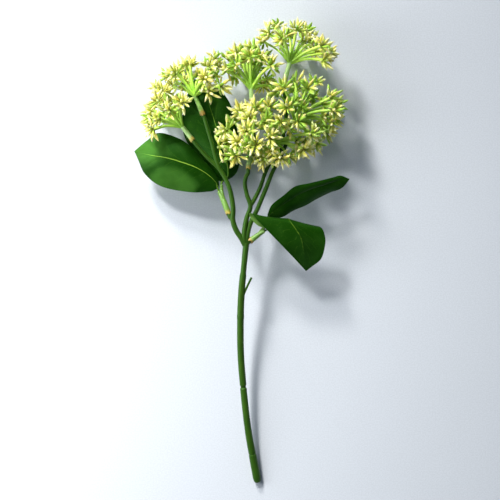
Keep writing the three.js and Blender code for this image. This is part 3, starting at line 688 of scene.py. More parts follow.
class Field:
    """A number, colour or place in a node tree, to be reckoned with like a number."""

    def __init__(self, socket):
        self.socket = socket
        self.tree = socket.id_data

    def node(self, kind, inputs, out=0, **settings):
        """One output of a new node in the same tree."""
        return Field(new_node(self.tree, kind, inputs, **settings).outputs[out])

    def math(self, operation, other=0.0):
        """This field and another one, or a number, taken together."""
        return self.node("ShaderNodeMath", {0: self, 1: other}, operation=operation)

    def __add__(self, other):
        return self.math("ADD", other)

    def __sub__(self, other):
        return self.math("SUBTRACT", other)

    def __mul__(self, other):
        return self.math("MULTIPLY", other)

    def __truediv__(self, other):
        return self.math("DIVIDE", other)

    def mapped(self, low, high, to_low=0.0, to_high=1.0, how="SMOOTHSTEP"):
        """This field taken smoothly from one range to another."""
        inputs = {0: self, 1: low, 2: high, 3: to_low, 4: to_high}
        return self.node("ShaderNodeMapRange", inputs, interpolation_type=how)

    def mix(self, first, second):
        """A colour between two, this field being the share of the second."""
        first, second = (c if isinstance(c, Field) else (*c, 1) for c in (first, second))
        return self.node("ShaderNodeMix", {0: self, 6: first, 7: second}, out=2, data_type="RGBA")

    def noise(self, scale, detail):
        """Soft noise from 0 to 1 over this place."""
        inputs = {"Vector": self, "Scale": scale, "Detail": detail, "Roughness": 0.5}
        return self.node("ShaderNodeTexNoise", inputs)


def fill(made, inputs):
    """Sets a node's inputs. They are values, or fields to link."""
    for key, value in inputs.items():
        if isinstance(value, Field):
            value.tree.links.new(value.socket, made.inputs[key])
        else:
            made.inputs[key].default_value = value


def new_node(tree, kind, inputs=None, **settings):
    """Adds a node with its settings and inputs."""
    made = tree.nodes.new(kind)
    for key, value in settings.items():
        setattr(made, key, value)
    fill(made, inputs or {})
    return made


def new_material(name):
    """A material, its shader, and the place on the object in metres."""
    material = bpy.data.materials.new(name)
    material.use_nodes = True
    tree = material.node_tree
    where = Field(new_node(tree, "ShaderNodeTexCoord").outputs["Object"])
    return material, tree.nodes["Principled BSDF"], where


def tone_channels(where):
    """The vertex tone as four fields."""
    tone = new_node(where.tree, "ShaderNodeAttribute", attribute_name="tone")
    parts = new_node(where.tree, "ShaderNodeSeparateColor", {0: Field(tone.outputs["Color"])})
    return [Field(socket) for socket in (*parts.outputs[:3], tone.outputs["Alpha"])]


def scaled(colour, *factors):
    """A colour with each channel multiplied, up to 1."""
    return tuple(min(1, channel * factor) for channel, factor in zip(colour, factors))


def inside(weight, blue, scale):
    """The shader's values for light that gets a little way into soft plastic."""
    return {"Subsurface Weight": weight, "Subsurface Radius": (1, 1, blue), "Subsurface Scale": scale}


def bumped(height, distance):
    """The shader's value for a bump with heights from 0 to 1 and a real depth in metres."""
    inputs = {"Height": height, "Distance": distance, "Strength": 1.0}
    return {"Normal": height.node("ShaderNodeBump", inputs)}


def stem_material(settings):
    """Satin moulded green, with darker streaks along the stem and fine grain."""
    material, shader, where = new_material("stem_green")
    streaks = where.node("ShaderNodeMapping", {0: where, 3: (1, 0.12, 1)}).noise(900, 3)
    patches = where.noise(45, 3)
    along = tone_channels(where)[0]
    colour = (streaks.mapped(0.4, 0.72) * 0.5).mix(settings.colour, settings.shade)
    colour = (patches.mapped(0.45, 0.75) * 0.55).mix(colour, scaled(settings.colour, 1.7, 1.35, 1.4))
    colour = along.mapped(0.012, 0.0).mix(colour, CUT_END)
    fill(shader, {
        "Base Color": colour, "Roughness": 0.42, "Specular IOR Level": 0.3, "Specular Tint": (0.55, 1, 0.45, 1),
        **bumped(streaks, settings.grain_depth),
    })
    return material


def sleeve_material(settings):
    """Soft yellow-green plastic. The tone's first channel is the share of the length from the torn mouth, the
    second is how brown the tear is and the third how pale the sleeve is."""
    material, shader, where = new_material("sleeve_green")
    along, brown, pale, _ = tone_channels(where)
    patches = where.noise(260, 3)
    mottled = pale + patches.mapped(0.3, 0.75, -0.15, 0.25)
    colour = mottled.mix(settings.colour, settings.pale_colour)
    tear = (along + (patches - 0.5) * 0.25).mapped(0.3, 0.08) * 0.85
    colour = tear.mix(colour, brown.mix(TORN_YELLOW, settings.tear_colour))
    fill(shader, {
        "Base Color": colour, "Roughness": 0.45, **inside(0.12, 0.5, 0.001), **bumped(patches, 0.00012),
    })
    return material


def ray_material(settings):
    """Lime-green plastic with painted light and shade: a lit, yellower copy of the ray green towards the buds
    and a shaded, darker copy at the hub, where the rays crowd under the stars. The same dark colour also falls
    at random in patches and on some rays. The tone's channels are the share of the length, a draw for each ray
    and how green the head is."""
    material, shader, where = new_material("ray_lime")
    along, draw, green, _ = tone_channels(where)
    patches = where.noise(220, 3)
    # Painted light: a lit, brighter yellow-lime copy of the ray green, taken on towards the stars.
    yellow = scaled(settings.ray_colour, 1.5, 1.18, 2.0)
    # A shaded copy of the ray green: painted shade at the hub, and a darker tone at random in patches and on
    # some rays.
    shade_and_dark_tone = scaled(settings.ray_colour, 0.36, 0.56, 0.4)
    colour = along.mapped(0.1, 1.0).mix(settings.ray_colour, yellow)
    for darker in (
        along.mapped(0.18, 0.0) * 0.7,
        patches.mapped(0.4, 0.75) * 0.5,
        draw * (green * 0.6 + 0.15),
    ):
        colour = darker.mix(colour, shade_and_dark_tone)
    fill(shader, {
        "Base Color": colour, "Roughness": 0.5, **inside(0.1, 0.4, 0.001), **bumped(patches, 0.0001),
    })
    return material


def bud_material(settings):
    """Cream buds, green at the foot, with painted shade that darkens the foot, the middle of each star and the
    four grooves. The tone's channels are the share of the length, a draw for each bud and how green the head
    is. Its alpha is 1 in the grooves."""
    material, shader, where = new_material("bud_cream")
    along, draw, green, groove = tone_channels(where)
    speckle = where.noise(700, 3)
    reach = along + (speckle - 0.5) * 0.3
    # From the foot, a real green base darkened as painted shade, to the belly.
    colour = reach.mapped(0.25, 0.6).mix(settings.foot_green_and_shade, settings.belly_colour)
    browned = (draw * 17).math("FRACT").mapped(0.66, 0.76) * reach.mapped(0.72, 1.02, 0.0, 0.7)
    for share, over in (
        (reach.mapped(0.52, 0.92), settings.tip_colour),
        # The star's middle: brown bracts with painted shade where the buds crowd.
        (reach.mapped(0.24, 0.06), STAR_MIDDLE_BROWN_AND_SHADE),
        (browned, BROWNED_TIP),
        ((draw + green * 0.7 - 0.85).mapped(0.0, 0.4, 0.0, 0.95), settings.green_colour),
        (draw.mapped(0.26, 0.06) * 0.6, WARM_BUD),
        # Painted shade in the grooves, fading towards the tip.
        (groove.mapped(0.35, 1.0, 0.0, 0.6) * along.mapped(1.0, 0.8), settings.groove_shade_colour),
    ):
        colour = share.mix(colour, over)
    fill(shader, {
        "Base Color": colour, "Roughness": 0.5, **inside(0.12, 0.5, 0.0012), **bumped(speckle, 0.00008),
    })
    return material


def leaf_material(settings):
    """Dark satin green with painted sheen in brighter zones, a bright midrib, faint side veins, fine specks and
    a paler underside. The blade's own map has the share across from edge to edge as x and the share along as y.
    The tone's channels are 1 on the underside, how strong the leaf's painted sheen is, and the vein number,
    which is whole where a side vein lies. Its alpha is how bright the midrib is. The painted sheen lies on the
    tip, reaching further back near the midrib, and on a patch beside the left edge half-way along, with faint
    painted sheen in random patches all over."""
    material, shader, where = new_material("leaf_green")
    under, painted_sheen, number, shine = tone_channels(where)
    on_blade = where.node("ShaderNodeUVMap", {}, uv_map="blade")
    blade = new_node(where.tree, "ShaderNodeSeparateXYZ", {0: on_blade})
    across = (Field(blade.outputs[0]) - 0.5) * 2
    along = Field(blade.outputs[1])
    share = across.math("ABSOLUTE")
    patches = where.noise(60, 4)
    fine = where.noise(900, 3)
    broken = where.noise(260, 2).mapped(0.36, 0.6)
    # light is the colour of the painted sheen, a much brighter copy of the leaf green. It lies faintly in
    # random patches and fully in the sheen zones.
    light = scaled(settings.colour, 10.5, 4.9, 22)
    colour = (patches.mapped(0.38, 0.7) * 0.08).mix(settings.colour, light)

    # The painted sheen zones: the tip, reaching further back near the midrib, and a patch beside the left edge.
    drifting = along + (where.noise(40, 3) - 0.5) * 0.2
    from_middle = (across - 0.2).math("ABSOLUTE")
    tipward = (drifting - from_middle * 0.25).mapped(0.48, 0.74)
    behind = ((drifting - 0.5) / 0.16).math("POWER", 2)
    beside = ((across + 0.75) / 0.5).math("POWER", 2)
    patch = (behind + beside).mapped(1.6, 0.2, 0.0, 0.85)
    sheen_zone = tipward.math("MAXIMUM", patch) * patches.mapped(0.3, 0.6, 0.7, 1.0)
    colour = (painted_sheen * (sheen_zone * 0.88)).mix(colour, light)

    vein = number.math("PINGPONG", 0.5).mapped(0.05, 0.008)
    vein = vein * (share.mapped(0.95, 0.3) * share.mapped(0.03, 0.1)) * broken
    specks = where.noise(1100, 1).mapped(0.64, 0.76)
    plain = (painted_sheen * -0.3 + 0.45) * (shine * 0.65 + 0.35)
    colour = (vein.math("MAXIMUM", specks) * plain).mix(colour, scaled(settings.colour, 16, 6, 16))

    rib = (share / along.mapped(0.0, 1.0, 0.026, 0.006, "LINEAR")).mapped(1.2, 0.5) * along.mapped(0.92, 0.7)
    rib = rib * shine * fine.mapped(0.25, 0.5, 0.6, 1.0)
    rib = rib * broken.math("MAXIMUM", shine.mapped(0.2, 0.9, 0.25, 1.0))
    colour = rib.mix(colour, settings.rib_colour)

    darker = scaled(settings.under_colour, 0.6, 0.6, 0.6)
    low = (patches.mapped(0.35, 0.7) * 0.4).mix(settings.under_colour, darker)
    low = rib.math("MAXIMUM", vein * 0.5).mix(low, settings.rib_colour)
    fill(shader, {
        "Base Color": under.mix(colour, low), "Roughness": patches * 0.16 + 0.3 + under * 0.2,
        "Specular IOR Level": 0.2, "Specular Tint": (0.3, 1, 0.2, 1), **bumped(fine, 0.00004),
    })
    return material


def floor_material(settings):
    """A plain pale surface with very faint mottling."""
    material, shader, where = new_material("floor_pale")
    darker = scaled(settings.floor_colour, 0.93, 0.93, 0.93)
    colour = where.noise(750, 3).mapped(0.35, 0.65).mix(settings.floor_colour, darker)
    fill(shader, {"Base Color": colour, "Roughness": 0.9, "Specular IOR Level": 0.2})
    return material


# Stem and branches

def aim_of(form):
    """Where a sleeve starts, where its rays or prongs leave it, and the direction between them."""
    start, end = place([form["collar"], form["hub"]])
    return start, end, unit_vectors(end - start)


def branch_path(to, points):
    """A branch's plan points, then its straight lead into the sleeve and the peg inside it."""
    form = next(f for f in HEADS + LEAF_SLEEVES if f["name"] == to)
    start, _, aim = aim_of(form)
    ends = start + np.outer([-LEAD_LENGTH, -SEAT_GAP], aim)
    return np.vstack([place(points), ends]), start + np.outer([-1, PEG_LENGTH], aim)


def stem_skin():
    """The stem, its branches and pegs. A ring's radius follows the mould steps, times 1 + 0.012 sin(2 a + 9
    share) + 0.01 sin(5 a + 31 share) for the unevenness of a moulded stem. A branch starts as a rounded end
    inside the stem: its radius is scaled by sqrt(1 - (1 - r)^2), r rising from 0.3 to 1 within its first
    span."""
    skin = Skin()
    tone = (0, 0, 1)
    stops = np.array(STEM_PROFILE)
    edges = (stops[:, :1] + np.array([-STEP_WIDTH, 0, STEP_WIDTH])).clip(0, 1)
    shares = np.union1d(np.linspace(0, 1, STEM_RINGS), edges.ravel())
    angle = round_angles(STEM_SIDES)
    run = shares[:, None]
    uneven = 1 + sum(height * np.sin(turns * angle + runs * run) for height, turns, runs in STEM_WAVES)
    path = even_path(place(STEM), shares)
    skin.add_tube(path, np.interp(shares, stops[:, 0], stops[:, 1]), STEM_SIDES, tone, uneven=uneven)
    root, rise = BRANCH_ROOT
    height, runs = BRANCH_WAVE
    for to, (first, last), points in BRANCHES:
        control, peg = branch_path(to, points)
        shares = np.linspace(0, 1, BRANCH_RINGS * len(points))
        rooted = np.minimum(1, shares * len(points) * rise + root)
        swell = (1 + height * np.sin(runs * shares + len(points))) * np.sqrt(1 - (1 - rooted) ** 2)
        skin.add_tube(even_path(control, shares), (first + (last - first) * shares) * swell, BRANCH_SIDES, tone)
        skin.add_tube(np.linspace(*peg, 3), [PEG_RADIUS] * 3, PEG_SIDES, tone)
    shares = np.linspace(0, 1, STUB_RINGS)
    radii = np.interp(shares, SIDE_STUB_STOPS, SIDE_STUB_RADII)
    skin.add_tube(even_path(place(SIDE_STUB), shares), radii, STUB_SIDES, tone)
    return skin


# Sleeves

def torn_sleeve(skin, form, radii, seed):
    """A tube with a torn mouth. Its skin runs from inside the mouth, over the torn edge and along to its
    closed end. The edge is moved outwards along the axis by 0.9 times the rag 0.7 sin(2 a + p) + 0.5 sin(5 a
    + q) + 0.35 sin(9 a + r), which counts as -0.9 where it is less, fading in 3 mm."""
    collar, sleeve, hub = radii
    start, end, axis = aim_of(form)
    start = start - form.get("reach", 0) * axis
    length = np.linalg.norm(end - start)
    # Distance from the mouth, radius and share of the tear for each ring
    rows = np.array([
        [MOUTH_DEPTH, 1.6, 0], [2, 1.75, 0.3], [0.3, collar - 0.55, 0.9], [0, collar - 0.3, 1], [0, collar, 1],
        [0.5, collar + 0.08, 0.9], [1.4, collar + 0.02, 0.6], [2.4, collar - 0.05, 0.25], [3.2, sleeve, 0.1],
        [4.2, sleeve - 0.02, 0], [0.5 * length, (sleeve + hub) / 2 + 0.03, 0], [length - 1.2, hub, 0],
        [length - 0.4, hub - 0.15, 0], [length, hub - 0.55, 0],
    ])
    angle = round_angles(SLEEVE_SIDES)
    turns = 2 * np.pi * chance(seed + np.array(TURN_DRAWS))
    rag = sum(height * np.sin(waves * angle + turn) for (height, waves), turn in zip(RAG_WAVES, turns))
    distance = rows[:, :1] - RAG_SIZE * rows[:, 2:] * np.maximum(rag, RAG_LOWEST)
    height, waves = SLEEVE_WAVE
    radius = rows[:, 1:2] * (1 + height * np.sin(waves * angle + turns[1] + rows[:, :1]))
    side, up = square_to(axis[None])
    rings = start + distance[..., None] * axis + radius[..., None] * spokes(side, up, SLEEVE_SIDES)
    shares = np.append((rows[:, 0] / length).clip(0, 1), [0.5, 1])
    skin.add_rings(rings, start + MOUTH_DEPTH * axis, end, shares, (form["brown"], form["pale"], 1))


def head_sleeve_skin(form, radii, order):
    """A head's sleeve, with its torn collar."""
    skin = Skin()
    torn_sleeve(skin, form, radii, HEAD_SLEEVE_SEED + SLEEVE_SEED_STEP * order)
    return skin


def leaf_sleeve_skin(form, order):
    """A forked sleeve: the torn tube and a prong for each leaf stalk, with a rounded lip at the prong's
    end."""
    skin = Skin()
    torn_sleeve(skin, form, form["radii"], LEAF_SLEEVE_SEED + SLEEVE_SEED_STEP * order)
    lip = PRONG_RADIUS + PRONG_LIP * form["lip"]
    radii = [form["radii"][2] - PRONG_NARROWING, PRONG_RADIUS, lip, lip - PRONG_LIP_FALL, PRONG_END]
    rounding = PRONG_STOPS[-2]
    shares = np.concatenate([np.linspace(0, rounding, PRONG_RINGS), [(rounding + 1) / 2, 1]])
    for prong in form["prongs"]:
        skin.add_tube(even_path(place(prong), shares), np.interp(shares, PRONG_STOPS, radii), PRONG_SIDES,
                      (0, form["pale"], 1), along=(0.5, 1))
    return skin


def ray_paths(form, spots):
    """Each ray's three guiding points: just inside the sleeve's end, half-way with a bow forwards, and the
    star."""
    _, hub, aim = aim_of(form)
    root = hub - RAY_ROOT_DEPTH * aim
    stars = place([spot[:3] for spot in spots])
    middle = (root + stars) / 2 + RAY_BOW * aim
    return np.stack([np.broadcast_to(root, stars.shape), middle, stars], axis=1)


def ray_skin(form, order, settings):
    """A head's rays. A ray's radius is r (1 + 0.25 exp(-12 share) + 0.35 exp(-14 (1 - share))), as it swells
    at the hub and at the star. The rays of small stars are thinner."""
    skin = Skin()
    shares = np.linspace(0, 1, RAY_RINGS)
    (at_hub, hub_fade), (at_star, star_fade) = RAY_SWELL_AT_HUB, RAY_SWELL_AT_STAR
    swell = 1 + at_hub * np.exp(-hub_fade * shares) + at_star * np.exp(-star_fade * (1 - shares))
    radii = settings.ray_radius / MM * swell
    for i, control in enumerate(ray_paths(form, form["stars"] + form["small"])):
        draw = chance(HEAD_SEED * order + STAR_SEED * i + TONE_DRAW) + 0.5
        thinner = 1 if i < len(form["stars"]) else SMALL_RAY
        skin.add_tube(even_path(control, shares), thinner * radii, RAY_SIDES, (draw, form["green"], 1))
    return skin


# Buds

def nearest_on_line(point, start, end):
    """The point of each line from start to end that is nearest to a point."""
    line = end - start
    share = ((point - start) * line).sum(-1) / np.maximum((line * line).sum(-1), 1e-12)
    return start + share.clip(0, 1)[..., None] * line


def walls_round(middle, owner, nets):
    """The walls that hold a star's buds back, as unit directions and how far a bud may reach along them: the
    other heads' sleeves, stars and rays, the branches, the leaves and the table."""
    points, rooms = [], []
    for form in HEADS:
        if form is owner:
            continue
        start, end, _ = aim_of(form)
        points.append(nearest_on_line(middle, start, end))
        rooms.append(ROOM_TO_SLEEVE)
        for root, bend, tip in ray_paths(form, form["stars"]):
            halves = [nearest_on_line(middle, *line) for line in ((root, bend), (bend, tip))]
            points += [(middle + tip) / 2, *halves]
            rooms += [ROOM_TO_STAR, ROOM_TO_RAY, ROOM_TO_RAY]
    crowds = []
    for _, _, plan in BRANCHES:
        path = place(plan)
        crowds.append((nearest_on_line(middle, path[:-1], path[1:]), ROOM_TO_BRANCH))
    crowds += [(net.reshape(-1, 3), ROOM_TO_LEAF) for net in nets]
    for spots, room in crowds:
        points.append(spots[np.argmin(np.linalg.norm(spots - middle, axis=1))])
        rooms.append(room)
    towards = np.array(points) - middle
    distance = np.linalg.norm(towards, axis=1)
    sink = LOW_BUD_SINK if middle[2] < LOW_STAR else -BUD_NEAREST_FLOOR
    towards = np.vstack([towards / distance[:, None], [0, 0, -1]])
    limits = np.append(distance - rooms, middle[2] + sink)
    near = limits < BUD_LENGTH * (1 + BUD_LENGTH_SPREAD)
    return towards[near], limits[near]


def past_walls(aims, lengths, towards, limits):
    """How far each bud would go past the wall that it passes most."""
    return (lengths[:, None] * (aims @ towards.T) - limits[None, :]).max(axis=1, initial=0)


def kept_back(aims, lengths, towards, limits):
    """Turns each direction back from every wall that its bud would pass, wall by wall."""
    aims = aims.copy()
    for wall, limit in zip(towards, limits):
        most = limit / lengths
        along = aims @ wall
        aside = unit_vectors(aims - along[:, None] * wall)
        turned = aside * np.sqrt((1 - most ** 2).clip(0))[:, None] + wall * most[:, None]
        aims = np.where((along > most)[:, None], turned, aims)
    return aims


def solid_directions():
    """The directions of a twenty-sided solid's faces and corners, from the golden ratio."""
    golden = (1 + 5 ** 0.5) / 2
    signs = np.array([(a, b) for a in (1, -1) for b in (1, -1)])
    cube = np.array([(a, b, c) for a in (1, -1) for b in (1, -1) for c in (1, -1)], float)
    nothing = np.zeros(4)
    long, short, one = signs[:, 0] * golden, signs[:, 1] / golden, signs[:, 1]
    faces = [(nothing, long, short), (short, nothing, long), (long, short, nothing)]
    corners = [(one, long, nothing), (nothing, one, long), (long, nothing, one)]
    faces, corners = ([np.column_stack(columns) for columns in group] for group in (faces, corners))
    return unit_vectors(np.vstack([cube, *faces])), unit_vectors(np.vstack(corners))


def random_turn(seed):
    """A random turn as three directions square to each other."""
    first = unit_vectors(chance(seed + np.array(TURN_DRAWS)))
    wanted = chance(seed + np.array(SIDE_DRAWS))
    side = unit_vectors(wanted - first * (first @ wanted))
    return np.array([first, side, np.cross(first, side)])


def bud_draws(directions, pole, seed):
    """Directions sorted by how far they point outwards, with each one's own seed, length and nudged
    direction."""
    order = np.argsort(-(directions @ pole), kind="stable")
    aims = directions[order]
    own = seed + np.arange(len(aims))
    lengths = BUD_LENGTH * (1 + BUD_LENGTH_SPREAD * chance(own + LENGTH_DRAW))
    nudges = chance(own[:, None] + np.array(NUDGE_DRAWS)[None, :])
    return aims, own, lengths, unit_vectors(aims + 2 * BUD_JITTER * nudges)


def star_buds(middle, pole, walls, most, seed, inner_share):
    """Directions, lengths and seeds of a star's buds: the frame's own outer ones, then shorter ones between
    them, on the faces that are left and on the corners."""
    faces, corners = solid_directions()
    turn = random_turn(seed)
    aims, own, lengths, buds = bud_draws(faces @ turn, pole, seed)
    rating = aims @ pole + BUD_SCATTER * chance(own + RATING_DRAW)
    fit = np.flatnonzero((aims @ pole > BUD_MOST_BACKWARD) & (past_walls(buds, lengths, *walls) < BUD_LEAN))
    picked = fit[np.argsort(-rating[fit], kind="stable")][:most]
    left = np.setdiff1d(np.arange(len(faces)), picked)
    aims2, own2, lengths2, buds2 = bud_draws(np.vstack([corners @ turn, aims[left]]), pole, seed + INNER_SEED)
    lengths2 = lengths2 * inner_share
    inner = np.flatnonzero(
        (aims2 @ pole > INNER_MOST_BACKWARD) & (past_walls(buds2, lengths2, *walls) < INNER_LEAN)
        & (chance(own2 + SKIP_DRAW) < INNER_KEPT - 0.5))
    return (
        np.vstack([kept_back(buds[picked], lengths[picked], *walls),
                   kept_back(buds2[inner], lengths2[inner], *walls)]),
        np.concatenate([lengths[picked], lengths2[inner]]),
        np.concatenate([own[picked], own2[inner]]),
    )


def add_buds(skin, middle, aims, lengths, own, settings, green):
    """All buds of a star at once. For a bud of length L along d, ring k at share t has radius
    p + (R - p) f(t), less 17% at every other corner for the four grooves, round the line
    middle + L t d + bow sin(pi t) b, b being square to d."""
    share, swell = np.array(BUD_PROFILE).T
    count = len(aims)
    odd = np.arange(BUD_SIDES) % 2
    wanted = chance(own[:, None] + np.array(BOW_DRAWS))
    side = unit_vectors(wanted - (wanted * aims).sum(1)[:, None] * aims)
    pedicel = settings.pedicel_radius / MM
    size = lengths / BUD_LENGTH
    widest = settings.radius / MM * (1 + BUD_WIDTH_SPREAD * chance(own + WIDTH_DRAW)) * size ** BUD_WIDTH_POWER
    radius = pedicel * np.minimum(1, (1 - share) * PEDICEL_TAPER) + (widest - pedicel)[:, None] * swell
    radius = radius[:, :, None] * (1 - BUD_GROOVE * odd)
    bow = settings.bow / MM * size[:, None] * np.sin(np.pi * share)
    line = middle + (lengths[:, None] * share)[..., None] * aims[:, None] + bow[..., None] * side[:, None]
    ring = spokes(side, np.cross(aims, side), BUD_SIDES)
    rings = line[:, :, None] + radius[..., None] * ring[:, None]
    tips = middle + lengths[:, None] * aims
    pattern, quads, triangles = closed_skin(rings[0], middle, tips[0])
    vertices = np.concatenate([
        rings.reshape(count, -1, 3), np.broadcast_to(middle, (count, 1, 3)), tips[:, None],
    ], axis=1)
    tones = np.empty((count, len(pattern), 4))
    tones[:, :, 0] = np.append(share.repeat(BUD_SIDES), [0, 1])
    tones[:, :, 1] = (chance(own + TONE_DRAW) + 0.5)[:, None]
    tones[:, :, 2] = green
    tones[:, :, 3] = np.append(np.tile(odd, len(share)), [0, 0])
    first = np.arange(count)[:, None, None] * len(pattern)
    skin.add(vertices.reshape(-1, 3), quads + first, triangles + first, tones.reshape(-1, 4))


def bud_head_skin(form, order, nets, settings):
    """All the buds of a head, star by star, each with a small round core in the dark colour of the star's
    middle: brown bracts with painted shade.
    """
    skin = Skin()
    spots = form["stars"] + form["small"]
    core = np.linspace(-CORE_RADIUS, CORE_RADIUS, CORE_RINGS + 2)[1:-1]
    core_radii = np.sqrt(CORE_RADIUS ** 2 - core ** 2)
    for i, (_, bend, middle) in enumerate(ray_paths(form, spots)):
        pole = unit_vectors(middle - bend)
        seed = HEAD_SEED * order + STAR_SEED * i + FIRST_SEED
        walls = walls_round(middle, form, nets)
        most = spots[i][3] if len(spots[i]) > 3 else MOST_BUDS
        aims, lengths, own = star_buds(middle, pole, walls, most, seed, settings.inner_share)
        green = np.clip(form["green"] + GREEN_SPREAD * chance(seed + GREEN_DRAW), 0, 1)
        if i >= len(form["stars"]):
            lengths = lengths * SMALL_STAR
            green = min(1, green + SMALL_STAR_GREENER)
        add_buds(skin, middle, aims, lengths, own, settings, green)
        # The core takes the star's middle colour, brown bracts with painted shade.
        skin.add_tube(middle + np.outer(core, pole), core_radii, CORE_SIDES, (0.5, form["green"], 0),
                      along=(CORE_SHARE, CORE_SHARE))
    return skin


# Leaves

def leaf_net(form, along, across):
    """A leaf's middle surface. With l, m, r the points of the three guiding curves at a share of the way
    along, a point is m + s (edge - m) + 4 camber s (1 - s) sin(pi along) n, s being the share from the midrib
    to the edge and n the direction square to the midrib and to r - l."""
    lines = [place(form[key]) for key in ("left", "rib", "right")]
    left, middle, right = (curve_points(line, along) for line in lines)
    step = 1e-4
    ahead, back = (curve_points(lines[1], (along + way * step).clip(0, 1)) for way in (1, -1))
    out = unit_vectors(np.cross(right - left, ahead - back))
    share = np.abs(across)[None, :, None]
    edge = np.where((across < 0)[None, :, None], left[:, None], right[:, None])
    lift = 4 * form["camber"] * share * (1 - share) * np.sin(np.pi * along)[:, None, None]
    return middle[:, None] + share * (edge - middle[:, None]) + lift * out[:, None]


def net_normals(net):
    """The upward normal at each point of a net: change across x change along."""
    return unit_vectors(np.cross(np.gradient(net, axis=1), np.gradient(net, axis=0)))


def vein_numbers(along, across, veins, order):
    """The vein number at each point of a blade, whole along a side vein: (along - 0.2 s) veins, s being the
    share from midrib to edge, moved by a half on the right and by 0.16 sin(17 along + 2 order + side) + 0.1
    sin(41 along - 3 s side), side being -1 on the left and 1 on the right."""
    run, share, side = along[:, None], np.abs(across), np.sign(across)
    (wide, slow), (small, quick) = VEIN_WAVES
    wander = wide * np.sin(slow * run + 2 * order + side) + small * np.sin(quick * run - 3 * share * side)
    return (run - VEIN_SLANT * share) * veins + 0.5 * (across > 0) + wander


def vein_relief(along, across, numbers, shine, settings):
    """Height of the upper face: a low ridge exp(-(s / w)^2) for the midrib in a shallow valley 0.9 exp(-(s /
    3.2 w)^2), and grooves exp(-(d / 0.17)^2) along the side veins, d being the distance to the nearest whole
    vein number. Both are lower on a leaf with less shine and fade out at its ends."""
    run, share = along[:, None], np.abs(across)
    width = RIB_WIDTHS[0] - (RIB_WIDTHS[0] - RIB_WIDTHS[1]) * run
    rib = np.exp(-(share / width) ** 2) - RIB_VALLEY * np.exp(-(share / (RIB_VALLEY_WIDTH * width)) ** 2)
    away = np.abs(numbers - np.round(numbers))
    groove = np.exp(-(away / VEIN_GROOVE) ** 2) * (1 - share ** 3) * np.minimum(1, share / RELIEF_FADE)
    ends = np.minimum(1, np.minimum(run, 1 - run) / RELIEF_FADE)
    rib_height = settings.rib_height / MM * (RIB_LEAST + (1 - RIB_LEAST) * shine)
    vein_depth = settings.vein_depth / MM * (VEIN_LEAST + (1 - VEIN_LEAST) * shine)
    return (rib_height * rib - vein_depth * groove) * ends


def blade_surface(net, thickness, relief):
    """A closed blade: the net moved up and down along its normals, with a rim between the two faces."""
    normals = net_normals(net)
    top = net + normals * (thickness / 2 + relief)[..., None]
    low = net - normals * (thickness / 2 - RELIEF_BELOW * relief)[..., None]
    rows, columns, _ = net.shape
    vertices = np.vstack([top.reshape(-1, 3), low.reshape(-1, 3)])
    a = (np.arange(rows - 1)[:, None] * columns + np.arange(columns - 1)).ravel()
    upper = np.column_stack([a, a + 1, a + columns + 1, a + columns])
    under = rows * columns
    edge = np.concatenate([
        np.arange(columns - 1), np.arange(rows - 1) * columns + columns - 1,
        (rows - 1) * columns + np.arange(columns - 1, 0, -1), np.arange(rows - 1, 0, -1) * columns,
    ])
    ahead = np.roll(edge, -1)
    rim = np.column_stack([edge, edge + under, ahead + under, ahead])
    return vertices, np.vstack([upper, upper[:, [0, 3, 2, 1]] + under, rim])


def leaf_skin(form, settings, order):
    """A leaf with its map: the blade with its veins and gently waved edges, and the stalk that plugs into the
    sleeve and runs under the blade."""
    skin = Skin()
    along = np.linspace(0, 1, BLADE_ROWS)
    run = along[:, None]
    spread = np.linspace(-1, 1, BLADE_COLUMNS)
    across = np.union1d(np.sign(spread) * np.abs(spread) ** COLUMN_POWER, [-RIM_COLUMN, RIM_COLUMN])
    net = leaf_net(form, along, across)
    turn = 2 * np.pi * (EDGE_WAVES * run + EDGE_WAVE_TURN * order) + EDGE_WAVE_SIDE * np.sign(across)
    wave = EDGE_WAVE * across ** 2 * np.sin(turn) * np.sin(np.pi * run)
    net = net + net_normals(net) * wave[..., None]
    thick = settings.thickness / MM * (1 - EDGE_THINNING * across ** 6) * np.ones_like(run)
    numbers = vein_numbers(along, across, settings.veins, order)
    face_down = form.get("face_down", False)
    relief = vein_relief(along, across, numbers, form["shine"], settings)
    vertices, quads = blade_surface(net, thick, -relief if face_down else relief)
    tones = np.empty((len(vertices), 4))
    tones[:, 0] = (np.arange(len(vertices)) >= len(vertices) // 2) != face_down
    # How strong the leaf's painted sheen is.
    tones[:, 1] = form["light"]
    tones[:, 2] = np.tile(numbers.ravel(), 2)
    tones[:, 3] = form["shine"]
    skin.add(vertices, quads, [], tones)
    grid = np.stack(np.broadcast_arrays((across + 1) / 2, run), axis=-1).reshape(-1, 2)
    before, mouth = place(LEAF_SLEEVES[form["sleeve"]]["prongs"][form["prong"]][-2:])
    aim = unit_vectors(mouth - before)
    control = np.vstack([mouth - STALK_LENGTH * aim, mouth, mouth + STALK_CLEAR * aim, place(form["into"])])
    shares = np.linspace(0, 1, STALK_RINGS)
    radii = np.interp(shares, [0, STALK_TAPER_START, 1], [STALK_RADIUS, STALK_RADIUS, STALK_TIP])
    shine = STALK_SHINE * form["shine"]
    skin.add_tube(even_path(control, shares), radii, STALK_SIDES, (0, 0, shine), along=(0, 0))
    stalk_grid = np.tile([0.5, 0.02], (len(skin.vertices[-1]), 1))
    skin.uv = np.vstack([grid, grid, stalk_grid])
    return skin


# Stage

def area_light(name, spot, target, size, watts, colour, spread):
    """A square soft light that looks at a target."""
    data = bpy.data.lights.new(name, "AREA")
    data.size = size
    data.energy = watts
    data.color = colour
    data.spread = np.radians(spread)
    light = linked(name, data)
    light.location = spot
    light.rotation_euler = (Vector(target) - Vector(spot)).to_track_quat("-Z", "Y").to_euler()


